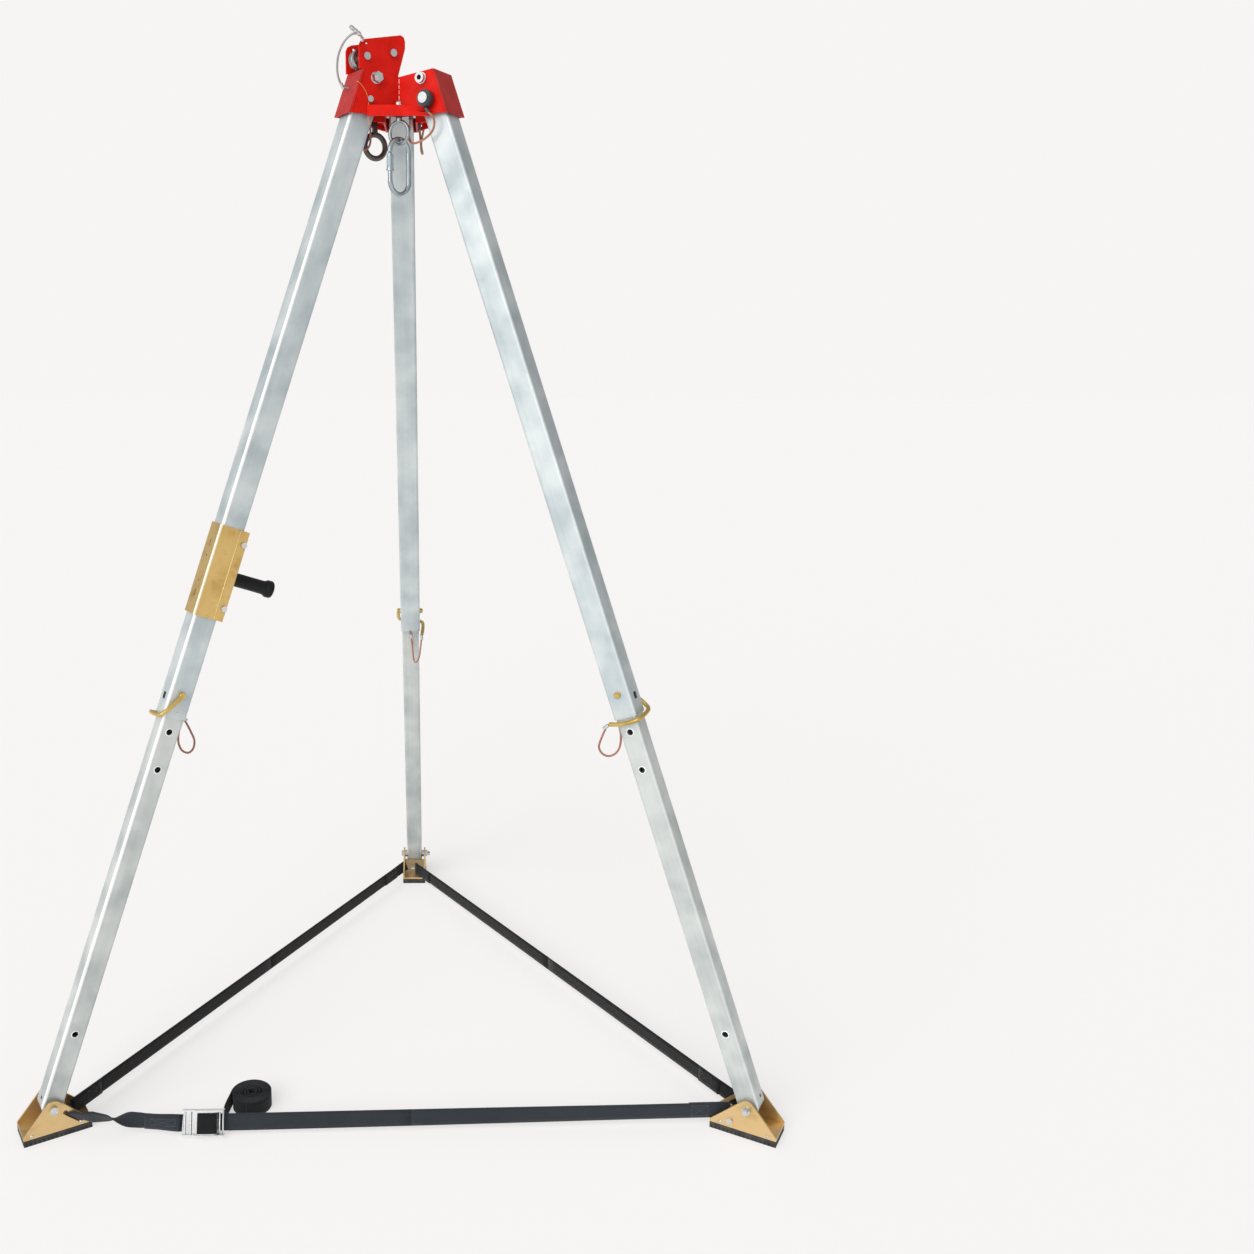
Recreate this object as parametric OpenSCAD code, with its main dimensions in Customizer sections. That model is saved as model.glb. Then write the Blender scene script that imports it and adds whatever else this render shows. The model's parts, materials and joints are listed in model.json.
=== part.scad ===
// Rescue tripod: three telescopic square-tube legs under a welded steel head, with
// swivel feet tied by webbing straps. Millimetres, +Z up. The origin is on the floor,
// under the middle of the feet. Legs are counted left, right, rear.

/* [Stance] */
// Height of the leg pivots above the floor
pivot_h = 2088; // [1800:1:2400]
// Distance of the leg pivots from the tripod's axis
pivot_r = 72; // [68:1:90]
// Distance of the foot bolts from the tripod's axis
foot_r = 831; // [700:1:950]
// Height of the foot bolts above the floor
foot_h = 65; // [60:1:80]

/* [Legs] */
// Outside width of the upper tubes
upper_w = 50; // [48:0.5:54]
// Wall of the upper tubes
upper_wall = 2.5; // [2:0.1:3.5]
// Corner radius of the upper tubes
upper_corner = 5; // [4.5:0.1:6]
// Length of the upper tubes below the pivot
upper_len = 1325; // [1200:1:1340]
// Height of the upper tubes' ends above the pivot
upper_over = 10; // [9:0.1:11]
// Gap between upper and lower tube on each side
tube_gap = 0.5; // [0.3:0.1:1]
// Wall of the lower tubes
lower_wall = 3; // [2.5:0.1:4]
// Corner radius of the lower tubes
lower_corner = 5; // [4:0.1:6]
// Distance from the pivot to the top of the lower tubes
lower_top = 1120; // [1000:1:1200]
// Distance from the pivot to the hitch pin
hitch_at = 1275; // [1240:1:1290]
// Pitch of the height-setting holes
hole_pitch = 80; // [60:1:90]
// Number of spare height-setting holes
hole_count = 2; // [1:1:3]
// Distance from the pivot to the transport hole
stow_at = 2003; // [1900:1:2040]

/* [Head] */
// Outside width of each leg channel
channel_w = 70; // [68:0.5:74]
// Thickness of the head plates
plate_t = 4; // [3:0.1:4.5]
// Gap between a leg and the web outside it
web_gap = 2; // [1.9:0.1:3]
// Height of the cheeks' inner top corner above the pivots
cheek_top_in = 7; // [4:0.5:9]
// Height of the cheeks' outer top corner above the pivots
cheek_top_out = 15; // [12:0.5:18]
// Depth of the cheeks below the pivots
cheek_drop = 67; // [64:0.5:80]
// Depth of the shelves' upper face below the pivots
shelf_drop = 57; // [56:0.5:59]
// Distance of the shelf lips from the tripod's axis
lip_r = 75; // [73:0.5:80]
// Height of the shelf lips
lip_h = 20; // [18:0.5:24]
// Diameter of the pivot bolts
pivot_d = 12; // [10:0.1:12]
// Distance of the lock pins below the pivots, along the leg
lock_at = 43; // [42:0.5:48]
// Diameter of the lock pins
lock_d = 12; // [10:0.1:12]
// Diameter of the lock pins' knobs
knob_d = 31; // [27:0.5:32]
// Length of the lock pins' knobs
knob_len = 18; // [17:0.5:24]
// Diameter of the release buttons
button_d = 20; // [16:0.5:21]
// Travel of the release buttons
button_travel = 3; // [2:0.1:4]

/* [Anchors] */
// Distance of the eyebolts from the tripod's axis
eye_r = 61; // [59:0.5:63]
// Diameter of the eyebolts' shanks
eye_shank_d = 12; // [8:0.1:12]
// Radius of the front ring to the middle of its rod
ring_front_r = 21.5; // [18:0.1:23]
// Turn of the front ring about its shank
ring_front_turn = -30; // [-45:1:0]
// Rod diameter of the front ring
ring_front_d = 7; // [6:0.1:8]
// Radius of the rear ring to the middle of its rod
ring_rear_r = 23; // [20:0.1:26]
// Rod diameter of the rear ring
ring_rear_d = 11; // [9:0.1:12]
// Depth of the front ring's middle below the pivots
ring_drop = 100; // [98:0.5:104]
// Rod diameter of the carabiner
carabiner_d = 10; // [9:0.1:11]
// Outside width of the carabiner
carabiner_w = 60; // [56:0.5:66]
// Outside length of the carabiner
carabiner_len = 114; // [106:0.5:124]
// Turn of the carabiner about its hanging line
carabiner_turn = 45; // [40:1:50]

/* [Pulley bracket] */
// Height of the bracket's inner top corner above the pivots
bracket_top_in = 85; // [82:0.5:90]
// Height of the bracket's outer top corner above the pivots
bracket_top_out = 69; // [67:0.5:74]
// Distance of the bracket's outer edge from the tripod's axis
bracket_out = 105; // [101:0.5:106]
// Diameter of the rope sheaves
sheave_d = 36; // [30:0.5:36]
// Width of the rope sheaves
sheave_w = 22; // [16:0.5:24]
// Diameter of the rope that the sheaves take
rope_d = 10; // [8:0.5:12]
// Diameter of the sheave axles
axle_d = 8; // [6:0.1:10]

/* [Winch bracket] */
// Distance from the pivot to the bracket's top edge
winch_at = 924; // [850:1:940]
// Length of the bracket
winch_len = 188; // [170:1:200]
// Thickness of the bracket's sheet
winch_t = 3; // [2:0.1:4]
// Reach of the bracket's flanges past the leg's middle
winch_reach = 34.5; // [33:0.1:40]
// Diameter of the clamp bolts
winch_bolt_d = 7; // [6:0.1:8]
// Width of the mounting slots
slot_w = 7; // [5:0.1:9]
// Length of the mounting slots
slot_len = 16; // [12:0.5:22]
// Distance between the mounting slots
slot_span = 104; // [90:1:110]
// Diameter of the handle grip
grip_d = 28; // [24:0.5:32]
// Length of the handle grip
grip_len = 92; // [80:1:110]
// Diameter of the grip's end
grip_end_d = 36; // [32:0.5:40]

/* [Hitch pins] */
// Diameter of the pins' shanks
hitch_d = 12.8; // [10:0.1:12.8]
// Diameter of the pins' bows
bow_d = 9; // [7:0.1:10]
// Drop of the bow from the shank
bow_drop = 54; // [52:0.5:58]
// Diameter of the lanyards
lanyard_d = 4.5; // [3:0.5:5]

/* [Feet] */
// Length of a foot, inwards from its bolt
foot_in = 74; // [70:0.5:80]
// Length of a foot, outwards from its bolt
foot_out = 63; // [60:0.5:75]
// Outside width of a foot
foot_w = 66; // [64:0.5:72]
// Thickness of the feet's sheet
foot_t = 4; // [3:0.1:5]
// Thickness of the rubber soles
sole_t = 14; // [10:0.5:16]
// Radius of the cheeks round the foot bolt
foot_apex = 18; // [15:0.5:20]
// Diameter of the foot bolts
foot_bolt_d = 12; // [10:0.1:12]
// Diameter of the strap bars
strap_bar_d = 9; // [7:0.1:10]

/* [Straps] */
// Width of the webbing
strap_w = 33; // [30:0.5:35]
// Thickness of the webbing
strap_t = 2.5; // [2:0.1:3]
// Height of the straps' middle above the floor, at the feet
strap_z = 35; // [35:0.5:38]
// Turns of the rolled strap end
roll_turns = 11; // [6:1:12]
// Distance between the roll's turns
roll_pitch = 3.5; // [3.2:0.1:4.5]
// Radius of the roll's eye
roll_eye = 4; // [3:0.5:8]
// Length of the strap buckle
buckle_len = 86; // [80:1:94]

/* [Clearances] */
// Radial running clearance of pins and bolts
run_gap = 0.05; // [0.02:0.01:0.1]
// Gap left between pieces that move past each other
side_gap = 0.3; // [0.2:0.05:0.4]

/* [Hidden] */
$fn = 48;

// Azimuth of each leg about the tripod's axis
leg_az = [210, 330, 90];
foot_reach = foot_r + foot_out;
foot_half = foot_w / 2;
// The axis stands off the origin so that the origin is under the middle of the feet
axis_y = -(foot_reach - foot_reach * sin(30) - foot_half * cos(30)) / 2;

lean = atan((foot_r - pivot_r) / (pivot_h - foot_h));
leg_len = (pivot_h - foot_h) / cos(lean);
lower_w = upper_w - 2 * upper_wall - 2 * tube_gap;
lower_round = lower_w / 2 - 1;

channel_half = channel_w / 2;
cheek_in = channel_half - plate_t;
web_in = upper_w / 2 + web_gap;
web_out = web_in + plate_t;
// Where two neighbouring cheeks' inner faces meet
bend_at = cheek_in / tan(60);
lip_half = (lip_r - channel_half / sin(60)) * tan(60);
lip_top = shelf_drop - 6;
head_bolt_h = 8;

washer_t = 2;
pivot_head_d = 19;
spacer_d = 24;
lock_out = channel_half + 1;
knob_end = lock_out + knob_len;
button_h = 4;

nut_h = 17;
nut_d = 18;
nut_cap = 3;
ring_rear_turn = 30;
ring_rear_drop = ring_drop + 11;
neck_d = eye_shank_d;

// The carabiner hangs on the front ring
carabiner_r = (carabiner_w - carabiner_d) / 2;
carabiner_straight = carabiner_len - carabiner_w;
hang_z = pivot_h - ring_drop - ring_front_r;
hang_gap = 1.2;
carabiner_top = hang_z + ring_front_d / 2 + hang_gap + carabiner_d / 2;
nose_len = 8;
gate_len = carabiner_straight - nose_len;
gate_d = carabiner_d - 1;
sleeve_d = 14;
sleeve_len = 30;
sleeve_at = 6;

bracket_in_x = 4;
bracket_y = cheek_in - plate_t;
sheave_outer_x = 90;
sheave_outer_z = 38;
sheave_inner_x = 32;
sheave_inner_z = 50;
groove_r = rope_d / 2 + 0.5;

winch_out = upper_w / 2 + winch_t + side_gap;
winch_half = upper_w / 2 + winch_t + side_gap;
crease_x = -16;
lip_flare = 2;
winch_bolt_x = -(upper_w / 2 + winch_bolt_d / 2 + 0.5);
winch_bolt_in = 27;
clamp_t = 4;
clamp_x = winch_bolt_x - winch_bolt_d / 2 - clamp_t;
handle_at = winch_at + 100;
stud_d = 10;

shank_end = channel_half - 4;
bow_y = upper_w / 2 + bow_d / 2 + 3;
bow_x = upper_w / 2 + bow_d / 2 + 3;
tail_x = -34;

foot_cheek_base = sole_t + foot_t;
cheek_low = foot_cheek_base + 2;
stud_x = -33;
stud_z = 29;
slit_x = -37;
slit_z = 38;
slit_angle = 43;
slit_half = 20;
slit_w = 9.6;

strap_in = -41;
strap_from_y = -5;
strap_end_w = 28;

buckle_x = -404;
buckle_y = -433;
buckle_z = 28;
buckle_h = 50;
buckle_lean = 25;
buckle_side = 2.5;
buckle_plate = 8.3;
cam_r = 7;
cam_pin_d = 5;
cam_x = 24;
strap_in_buckle = 6.5;
roll_x = -320;
roll_y = -334;
roll_steps = 24;
tail_points = [[-350, -419.5], [-358, -415.5], [-365, -404], [-368, -386], [-366, -360]];

steel = "silver";
zinc = "goldenrod";
red = "firebrick";
alloy = "lightgray";
black = "dimgray";
cable = "rosybrown";

// Frames: radial (x outwards, y counter-clockwise) and along a leg (z up the leg)
module at_axis() {
  translate([0, axis_y, 0]) children();
}
module at_leg(i) {
  at_axis() rotate([0, 0, leg_az[i]]) children();
}
module on_leg(i) {
  at_leg(i) translate([pivot_r, 0, pivot_h]) rotate([0, -lean, 0]) children();
}
module at_foot(i) {
  at_leg(i) translate([foot_r, 0, 0]) children();
}
// The head's sides, counted from the front, each a third of a turn
module at_side(k) {
  at_axis() rotate([0, 0, -120 * k]) children();
}
module cross(d, h) {
  rotate([90, 0, 0]) cylinder(d = d, h = h, center = true);
}
// A cylinder across a leg between two places along y
module cross_span(d, y0, y1) {
  translate([0, y0, 0]) rotate([-90, 0, 0]) cylinder(d = d, h = y1 - y0);
}

// Square tube
module rounded_square(w, r) {
  square([w, w - 2 * r], center = true);
  square([w - 2 * r, w], center = true);
  for (x = [-1, 1], y = [-1, 1]) translate([x * (w / 2 - r), y * (w / 2 - r)]) circle(r);
}
module square_tube(w, wall, r, low, high) {
  translate([0, 0, low]) linear_extrude(high - low) difference() {
    rounded_square(w, r);
    rounded_square(w - 2 * wall, r - wall);
  }
}

module upper_tube(i) {
  color(alloy) on_leg(i) difference() {
    square_tube(upper_w, upper_wall, upper_corner, -upper_len, upper_over);
    cross(pivot_d + 2 * run_gap, upper_w + 2);
    translate([0, 0, -lock_at]) cross(lock_d + 2 * run_gap, upper_w + 2);
    translate([0, 0, -hitch_at]) cross(hitch_d + 2 * run_gap, upper_w + 2);
  }
}

module lower_tube(i) {
  color(alloy) on_leg(i) difference() {
    union() {
      square_tube(lower_w, lower_wall, lower_corner, -leg_len, -lower_top);
      translate([0, 0, -leg_len]) intersection() {
        square_tube(lower_w, lower_wall, lower_corner, -lower_round, 1);
        cross(2 * lower_round, lower_w + 2);
      }
    }
    for (n = [0:hole_count]) translate([0, 0, -hitch_at - n * hole_pitch])
      cross(hitch_d + 2 * run_gap, lower_w + 2);
    translate([0, 0, -stow_at]) cross(hitch_d + 2 * run_gap, lower_w + 2);
    translate([0, 0, -leg_len]) cross(foot_bolt_d + 2 * run_gap, lower_w + 2);
  }
}

// Head
module cheek(i, side) {
  at_leg(i) translate([0, side > 0 ? channel_half : -cheek_in, pivot_h]) rotate([90, 0, 0])
    linear_extrude(plate_t) polygon([
      [bend_at, cheek_top_in],
      [bend_at, -cheek_drop],
      [pivot_r + (web_in + cheek_drop * sin(lean)) / cos(lean), -cheek_drop],
      [pivot_r + (web_in - cheek_top_out * sin(lean)) / cos(lean), cheek_top_out]
    ]);
}
// The bent plate between the channels of legs i (its counter-clockwise cheek) and j
module head_plate(k, i, j) {
  color(red) difference() {
    union() {
      cheek(i, 1);
      cheek(j, -1);
      at_side(k) {
        translate([0, 0, pivot_h - shelf_drop - plate_t]) linear_extrude(plate_t) polygon([
          [0, -channel_half / sin(60) + 1],
          [-lip_half - 1, -lip_r],
          [lip_half + 1, -lip_r]
        ]);
        translate([0, -lip_r, pivot_h]) rotate([90, 0, 0]) linear_extrude(plate_t) polygon([
          [-lip_half - 2, -lip_top],
          [12, -lip_top],
          [24, -lip_top - 3],
          [34, -lip_top - 10],
          [44, -lip_top - 13],
          [lip_half + 2, -lip_top - 13],
          [lip_half + 2, -lip_top - lip_h],
          [-lip_half - 2, -lip_top - lip_h]
        ]);
      }
    }
    at_side(k) translate([0, -eye_r, pivot_h - shelf_drop - plate_t - 1])
      cylinder(d = eye_shank_d + 2 * run_gap, h = plate_t + 2);
    for (leg = [i, j]) on_leg(leg) {
      cross(pivot_d + 2 * run_gap, channel_w + 2);
      translate([0, 0, -lock_at]) cross(lock_d + 2 * run_gap, channel_w + 2);
    }
  }
}
module channel_webs() {
  color(red) for (i = [0:2]) on_leg(i)
    translate([web_in, -channel_half, 0]) intersection() {
      translate([0, 0, -cheek_drop * 1.5]) cube([plate_t, channel_w, cheek_drop * 2]);
      rotate([0, lean, 0]) translate([-plate_t * 8, -1, web_low()])
        cube([plate_t * 20, channel_w + 2, web_high() - web_low()]);
    }
}
// Heights of the web's ends, seen from its own foot on the pivot's level
function web_low() = -cheek_drop - web_in * sin(lean);
function web_high() = cheek_top_out - web_in * sin(lean);

module pivot_fasteners() {
  color(steel) for (i = [0:2]) on_leg(i) {
    cross_span(pivot_d, -channel_half - washer_t, channel_half + 19);
    cross_span(pivot_head_d + 3, -channel_half - washer_t, -channel_half);
    cross_span(pivot_head_d, -channel_half - washer_t - head_bolt_h, -channel_half - washer_t);
    translate([0, channel_half, 0]) rotate([-90, 0, 0]) difference() {
      union() {
        cylinder(d = pivot_head_d + 3, h = washer_t);
        cylinder(d = pivot_head_d + 2, h = 14, $fn = 6);
      }
      translate([0, 0, -1]) cylinder(d = pivot_d, h = 20);
    }
  }
}
module leg_spacers() {
  color(black) for (i = [0:2], s = [-1, 1]) {
    inner = upper_w / 2 + side_gap;
    outer = i == 0 ? bracket_y : cheek_in;
    on_leg(i) difference() {
      cross_span(spacer_d, s > 0 ? inner : -outer, s > 0 ? outer : -inner);
      cross(pivot_d + 2 * run_gap, channel_w);
    }
  }
}

// A ring on a shank: the shank ends in its nut on the shelf, the ring is turned from the front
module eyebolt(k, ring_r, rod, drop, turn) {
  at_side(k) translate([0, -eye_r, 0]) {
    translate([0, 0, pivot_h - drop + ring_r])
      cylinder(d = neck_d, h = drop - ring_r - shelf_drop + nut_h - nut_cap);
    translate([0, 0, pivot_h - shelf_drop - plate_t - 3]) cylinder(d = neck_d + 6, h = 3);
    translate([0, 0, pivot_h - drop]) rotate([0, 0, 120 * k + turn]) rotate([90, 0, 0])
      rotate_extrude() translate([ring_r, 0]) circle(d = rod, $fn = 32);
  }
}
module eyebolt_front() {
  color(steel) eyebolt(0, ring_front_r, ring_front_d, ring_drop, ring_front_turn);
}
module eyebolt_rear() {
  color(black) eyebolt(1, ring_rear_r, ring_rear_d, ring_rear_drop, ring_rear_turn);
}
module eyebolt_nuts() {
  color(steel) for (k = [0, 1]) at_side(k)
    translate([0, -eye_r, pivot_h - shelf_drop]) difference() {
      union() {
        cylinder(d = nut_d, h = nut_h / 2, $fn = 6);
        cylinder(d = nut_d - 2, h = nut_h - nut_d / 2 + 1);
        intersection() {
          translate([0, 0, nut_h / 3]) cylinder(d = nut_d - 2, h = nut_h);
          translate([0, 0, nut_h - nut_d / 2]) sphere(d = nut_d);
        }
      }
      translate([0, 0, -1]) cylinder(d = eye_shank_d, h = nut_h - nut_cap + 1);
    }
}

// Pulley bracket in the left channel, notched to clear the web
function web_line(z) = pivot_r + (web_in - side_gap - z * sin(lean)) / cos(lean);
module bracket_outline() {
  polygon([
    [bracket_in_x, bracket_top_in - 24],
    [bracket_in_x, bracket_top_in - 10],
    [bracket_in_x + 3, bracket_top_in - 3],
    [bracket_in_x + 10, bracket_top_in],
    [bracket_out - 12, bracket_top_out],
    [bracket_out - 4, bracket_top_out - 4],
    [bracket_out, bracket_top_out - 12],
    [bracket_out, cheek_top_out + side_gap],
    [web_line(cheek_top_out + side_gap), cheek_top_out + side_gap],
    [web_line(-9), -9],
    [bend_at + 20, -16],
    [bend_at + 3, 6]
  ]);
}
module pulley_plates() {
  color(red) at_leg(0) for (s = [-1, 1]) difference() {
    translate([0, s > 0 ? cheek_in : -bracket_y, pivot_h]) rotate([90, 0, 0])
      linear_extrude(plate_t) bracket_outline();
    translate([pivot_r, 0, pivot_h]) cross(pivot_d + 2 * run_gap, channel_w);
    translate([sheave_outer_x, 0, pivot_h + sheave_outer_z]) cross(axle_d + 2 * run_gap, channel_w);
    translate([sheave_inner_x, 0, pivot_h + sheave_inner_z]) cross(axle_d + 2 * run_gap, channel_w);
    translate([bracket_out - 17, 0, pivot_h + bracket_top_out - 8]) cross(6, channel_w);
  }
}
module sheave(x, z) {
  color(alloy) at_leg(0) translate([x, 0, pivot_h + z]) rotate([90, 0, 0])
    rotate_extrude() difference() {
      translate([axle_d / 2 + run_gap, -sheave_w / 2])
        square([(sheave_d - axle_d) / 2 - run_gap, sheave_w]);
      translate([sheave_d / 2 + 1, 0]) circle(r = groove_r, $fn = 32);
    }
}
module sheave_axles() {
  color(steel) at_leg(0) for (p = [[sheave_outer_x, sheave_outer_z], [sheave_inner_x, sheave_inner_z]])
    translate([p[0], 0, pivot_h + p[1]]) {
      cross_span(axle_d, -channel_half - 6, cheek_in);
      cross_span(axle_d + 6, cheek_in, cheek_in + 6);
      translate([0, -cheek_in, 0]) rotate([90, 0, 0]) cylinder(d = axle_d + 7, h = 6, $fn = 6);
      for (s = [-1, 1]) difference() {
        cross_span(axle_d + 6, s > 0 ? sheave_w / 2 + side_gap : -bracket_y,
          s > 0 ? bracket_y : -sheave_w / 2 - side_gap);
        cross(axle_d, channel_w);
      }
    }
}

// A round cord or wire through the points p, with the given number of sides
function unit(v) = v / norm(v);
function way(p, i) = unit(p[min(i + 1, len(p) - 1)] - p[max(i - 1, 0)]);
function side_of(w) = unit(cross3(w, abs(w[2]) < 0.9 ? [0, 0, 1] : [1, 0, 0]));
function cross3(a, b) = [
  a[1] * b[2] - a[2] * b[1], a[2] * b[0] - a[0] * b[2], a[0] * b[1] - a[1] * b[0]
];
// Each ring's first side is the last ring's, turned least
function carried(p, i) = i == 0
  ? side_of(way(p, 0))
  : let (s = carried(p, i - 1), w = way(p, i)) unit(s - w * (s * w));
module sweep(p, d, sides = 8) {
  n = len(p);
  points = [for (i = [0:n - 1])
    let (w = way(p, i), s = carried(p, i), t = cross3(w, s))
    for (k = [0:sides - 1]) p[i] + d / 2 * (cos(k * 360 / sides) * s + sin(k * 360 / sides) * t)];
  walls = [for (i = [0:n - 2], k = [0:sides - 1]) let (m = (k + 1) % sides)
    each [[i * sides + k, (i + 1) * sides + m, i * sides + m],
          [i * sides + k, (i + 1) * sides + k, (i + 1) * sides + m]]];
  first = [for (k = [1:sides - 2]) [0, k, k + 1]];
  last = [for (k = [1:sides - 2]) [(n - 1) * sides, (n - 1) * sides + k + 1, (n - 1) * sides + k]];
  polyhedron(points, concat(walls, first, last));
}
// A smooth curve through hand-chosen points
function spline(p, m) = [
  for (i = [0:len(p) - 2], j = [0:m - 1])
    let (a = p[max(i - 1, 0)], b = p[i], c = p[i + 1], e = p[min(i + 2, len(p) - 1)], t = j / m)
    0.5 * (2 * b + (c - a) * t + (2 * a - 5 * b + 4 * c - e) * t * t
      + (3 * b - a - 3 * c + e) * t * t * t),
  p[len(p) - 1]
];

// Cable loop from the pulley bracket's top to the left web, in the left leg's radial frame
cable_d = 4;
cable_points = [
  [98, 33, 64], [104, 40, 70], [112, 42, 74], [124, 36, 72], [134, 24, 60], [140, 10, 38],
  [138, 0, 12], [131, -4, -6], [122, -3, -14], [114, 0, -16.5]
];
module bracket_cable() {
  color(steel) at_leg(0) translate([0, 0, pivot_h]) {
    sweep(spline(cable_points, 4), cable_d);
    translate([111.3, 0, -16]) rotate([0, 90 - lean, 0]) cylinder(d = 8, h = 4);
  }
}

// Lock pins with knob, button and lanyard
module lock_pin(i) {
  color(steel) on_leg(i) translate([0, 0, -lock_at]) {
    cross_span(lock_d, -lock_out - 8, channel_half + 8);
    cross_span(lock_d - 4, channel_half + 8, channel_half + 10);
  }
}
module lock_knob(i) {
  color(black) on_leg(i) translate([0, 0, -lock_at]) difference() {
    union() {
      cross_span(knob_d - 3, -lock_out - 3, -lock_out);
      cross_span(knob_d, -knob_end + 1.5, -lock_out - 3);
      cross_span(knob_d - 3, -knob_end, -knob_end + 1.5);
    }
    cross_span(lock_d, -lock_out - 8, 0);
    cross_span(button_d + 2 * run_gap, -knob_end - 1, -lock_out - 8);
  }
}
module lock_button(i) {
  color(steel) on_leg(i) translate([0, 0, -lock_at])
    cross_span(button_d, -knob_end - button_h, -lock_out - 8 - button_travel - side_gap);
}
// Lanyard of a lock pin, in the radial frame of its leg, round to the shelf on that side
lanyard_points = [
  [88, -46, -57.6], [93.7, -46.3, -66], [103.9, -43.9, -76], [104.6, -41.2, -89],
  [97.4, -40.7, -103], [77.8, -42.8, -116], [56.9, -44.5, -120], [47.3, -42, -108],
  [47.5, -39.6, -85], [48.8, -38, -61.4]
];
module lock_lanyards() {
  color(cable) for (i = [0:2]) at_leg(i) translate([0, 0, pivot_h])
    sweep(spline(lanyard_points, 4), lanyard_d);
}

// Carabiner: a long oval with a gate in its left side, turned about its hanging line
module at_carabiner() {
  at_axis() translate([0, -eye_r, carabiner_top]) rotate([0, 0, carabiner_turn]) children();
}
module half_ring(r, d, up) {
  rotate([90, 0, 0]) rotate([0, 0, up ? 0 : 180])
    rotate_extrude(angle = 180) translate([r, 0]) circle(d = d, $fn = 32);
}
module carabiner_body() {
  color(steel) at_carabiner() {
    translate([0, 0, -carabiner_r]) half_ring(carabiner_r, carabiner_d, true);
    translate([carabiner_r, 0, -carabiner_r - carabiner_straight])
      cylinder(d = carabiner_d, h = carabiner_straight);
    translate([0, 0, -carabiner_r - carabiner_straight]) half_ring(carabiner_r, carabiner_d, false);
    translate([-carabiner_r, 0, -carabiner_r - carabiner_straight]) cylinder(d = gate_d, h = nose_len);
  }
}
// The gate turns about the middle of its round top
module carabiner_gate() {
  color(steel) at_carabiner() translate([-carabiner_r, 0, -carabiner_r - side_gap - gate_d / 2]) {
    sphere(d = gate_d);
    translate([0, 0, -gate_len + gate_d / 2 + 2 * side_gap])
      cylinder(d = gate_d, h = gate_len - gate_d / 2 - 2 * side_gap);
  }
}
module carabiner_sleeve() {
  color(steel) at_carabiner() translate([-carabiner_r, 0, -carabiner_r - sleeve_at - sleeve_len])
    difference() {
      union() {
        cylinder(d = sleeve_d - 1, h = sleeve_len);
        cylinder(d = sleeve_d + 2, h = 3);
      }
      translate([0, 0, -1]) cylinder(d = gate_d + 2 * run_gap, h = sleeve_len + 2);
    }
}

// Hitch pins: a shank through both tubes and a bow that passes round the outer side
bow_points = [
  [0, bow_y - 2, 0], [6, bow_y, -12], [bow_x - 8, bow_y, -bow_drop + 16], [bow_x, bow_y - 8, -bow_drop + 5],
  [bow_x + 4, 0, -bow_drop + 2], [bow_x, -bow_y + 8, -bow_drop - 1], [bow_x - 9, -bow_y, -bow_drop - 3],
  [-10, -bow_y, -bow_drop - 4], [tail_x, -bow_y + 2, -bow_drop]
];
module hitch_pin(i) {
  color(zinc) on_leg(i) translate([0, 0, -hitch_at]) {
    cross_span(hitch_d, -shank_end, bow_y + 2);
    cross_span(hitch_d - 4, -shank_end - 2, -shank_end);
    sweep(spline(bow_points, 3), bow_d, 12);
  }
}
// Lanyard of a hitch pin, along its leg: from the pin's tail round to the inner face
hitch_lanyard_points = [
  [-36, -30.5, -54.5], [-42, -30.5, -57.5], [-51, -29, -66], [-64, -27, -80], [-76, -24, -96],
  [-76, -18, -112], [-66, -12, -121], [-50, -8, -118], [-37, -6, -104], [-30, -4, -84],
  [-28.4, -2, -66], [-28.4, 0, -48.4]
];
module hitch_lanyard(i) {
  color(cable) on_leg(i) translate([0, 0, -hitch_at]) {
    sweep(spline(hitch_lanyard_points, 3), lanyard_d);
    translate([-upper_w / 2 - 4, 0, -44]) rotate([0, 90, 0]) cylinder(d = 9, h = 4);
  }
}

// Winch bracket on the left leg
module winch_section() {
  out = winch_half;
  in = winch_half - winch_t;
  difference() {
    polygon([
      [-winch_reach, out + lip_flare], [crease_x, out], [winch_out, out],
      [winch_out, -out], [crease_x, -out], [-winch_reach, -out - lip_flare],
      [-winch_reach, -in - lip_flare], [crease_x, -in], [winch_out - winch_t, -in],
      [winch_out - winch_t, in], [crease_x, in], [-winch_reach, in + lip_flare]
    ]);
    for (s = [-1, 1]) translate([winch_out - 4, s * (out - 4)]) difference() {
      translate([0, s > 0 ? 0 : -5]) square([5, 5]);
      circle(4);
    }
  }
}
module winch_bracket() {
  color(zinc) on_leg(0) difference() {
    translate([0, 0, -winch_at - winch_len]) linear_extrude(winch_len) winch_section();
    for (d = [winch_bolt_in, winch_len - winch_bolt_in])
      translate([winch_bolt_x, 0, -winch_at - d]) cross(winch_bolt_d + 2 * run_gap, 3 * winch_half);
    for (s = [-1, 1]) translate([winch_out - winch_t - 1, 0, -winch_at - winch_len / 2 + s * slot_span / 2]) {
      for (e = [-1, 1]) translate([0, 0, e * (slot_len - slot_w) / 2])
        rotate([0, 90, 0]) cylinder(d = slot_w, h = winch_t + 2);
      translate([0, -slot_w / 2, -(slot_len - slot_w) / 2]) cube([winch_t + 2, slot_w, slot_len - slot_w]);
    }
    for (s = [-1, 1]) translate([winch_out - winch_t - 1, 0, -winch_at - winch_len / 2 + s * slot_span / 4])
      rotate([0, 90, 0]) cylinder(d = 5, h = winch_t + 2);
  }
}
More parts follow.
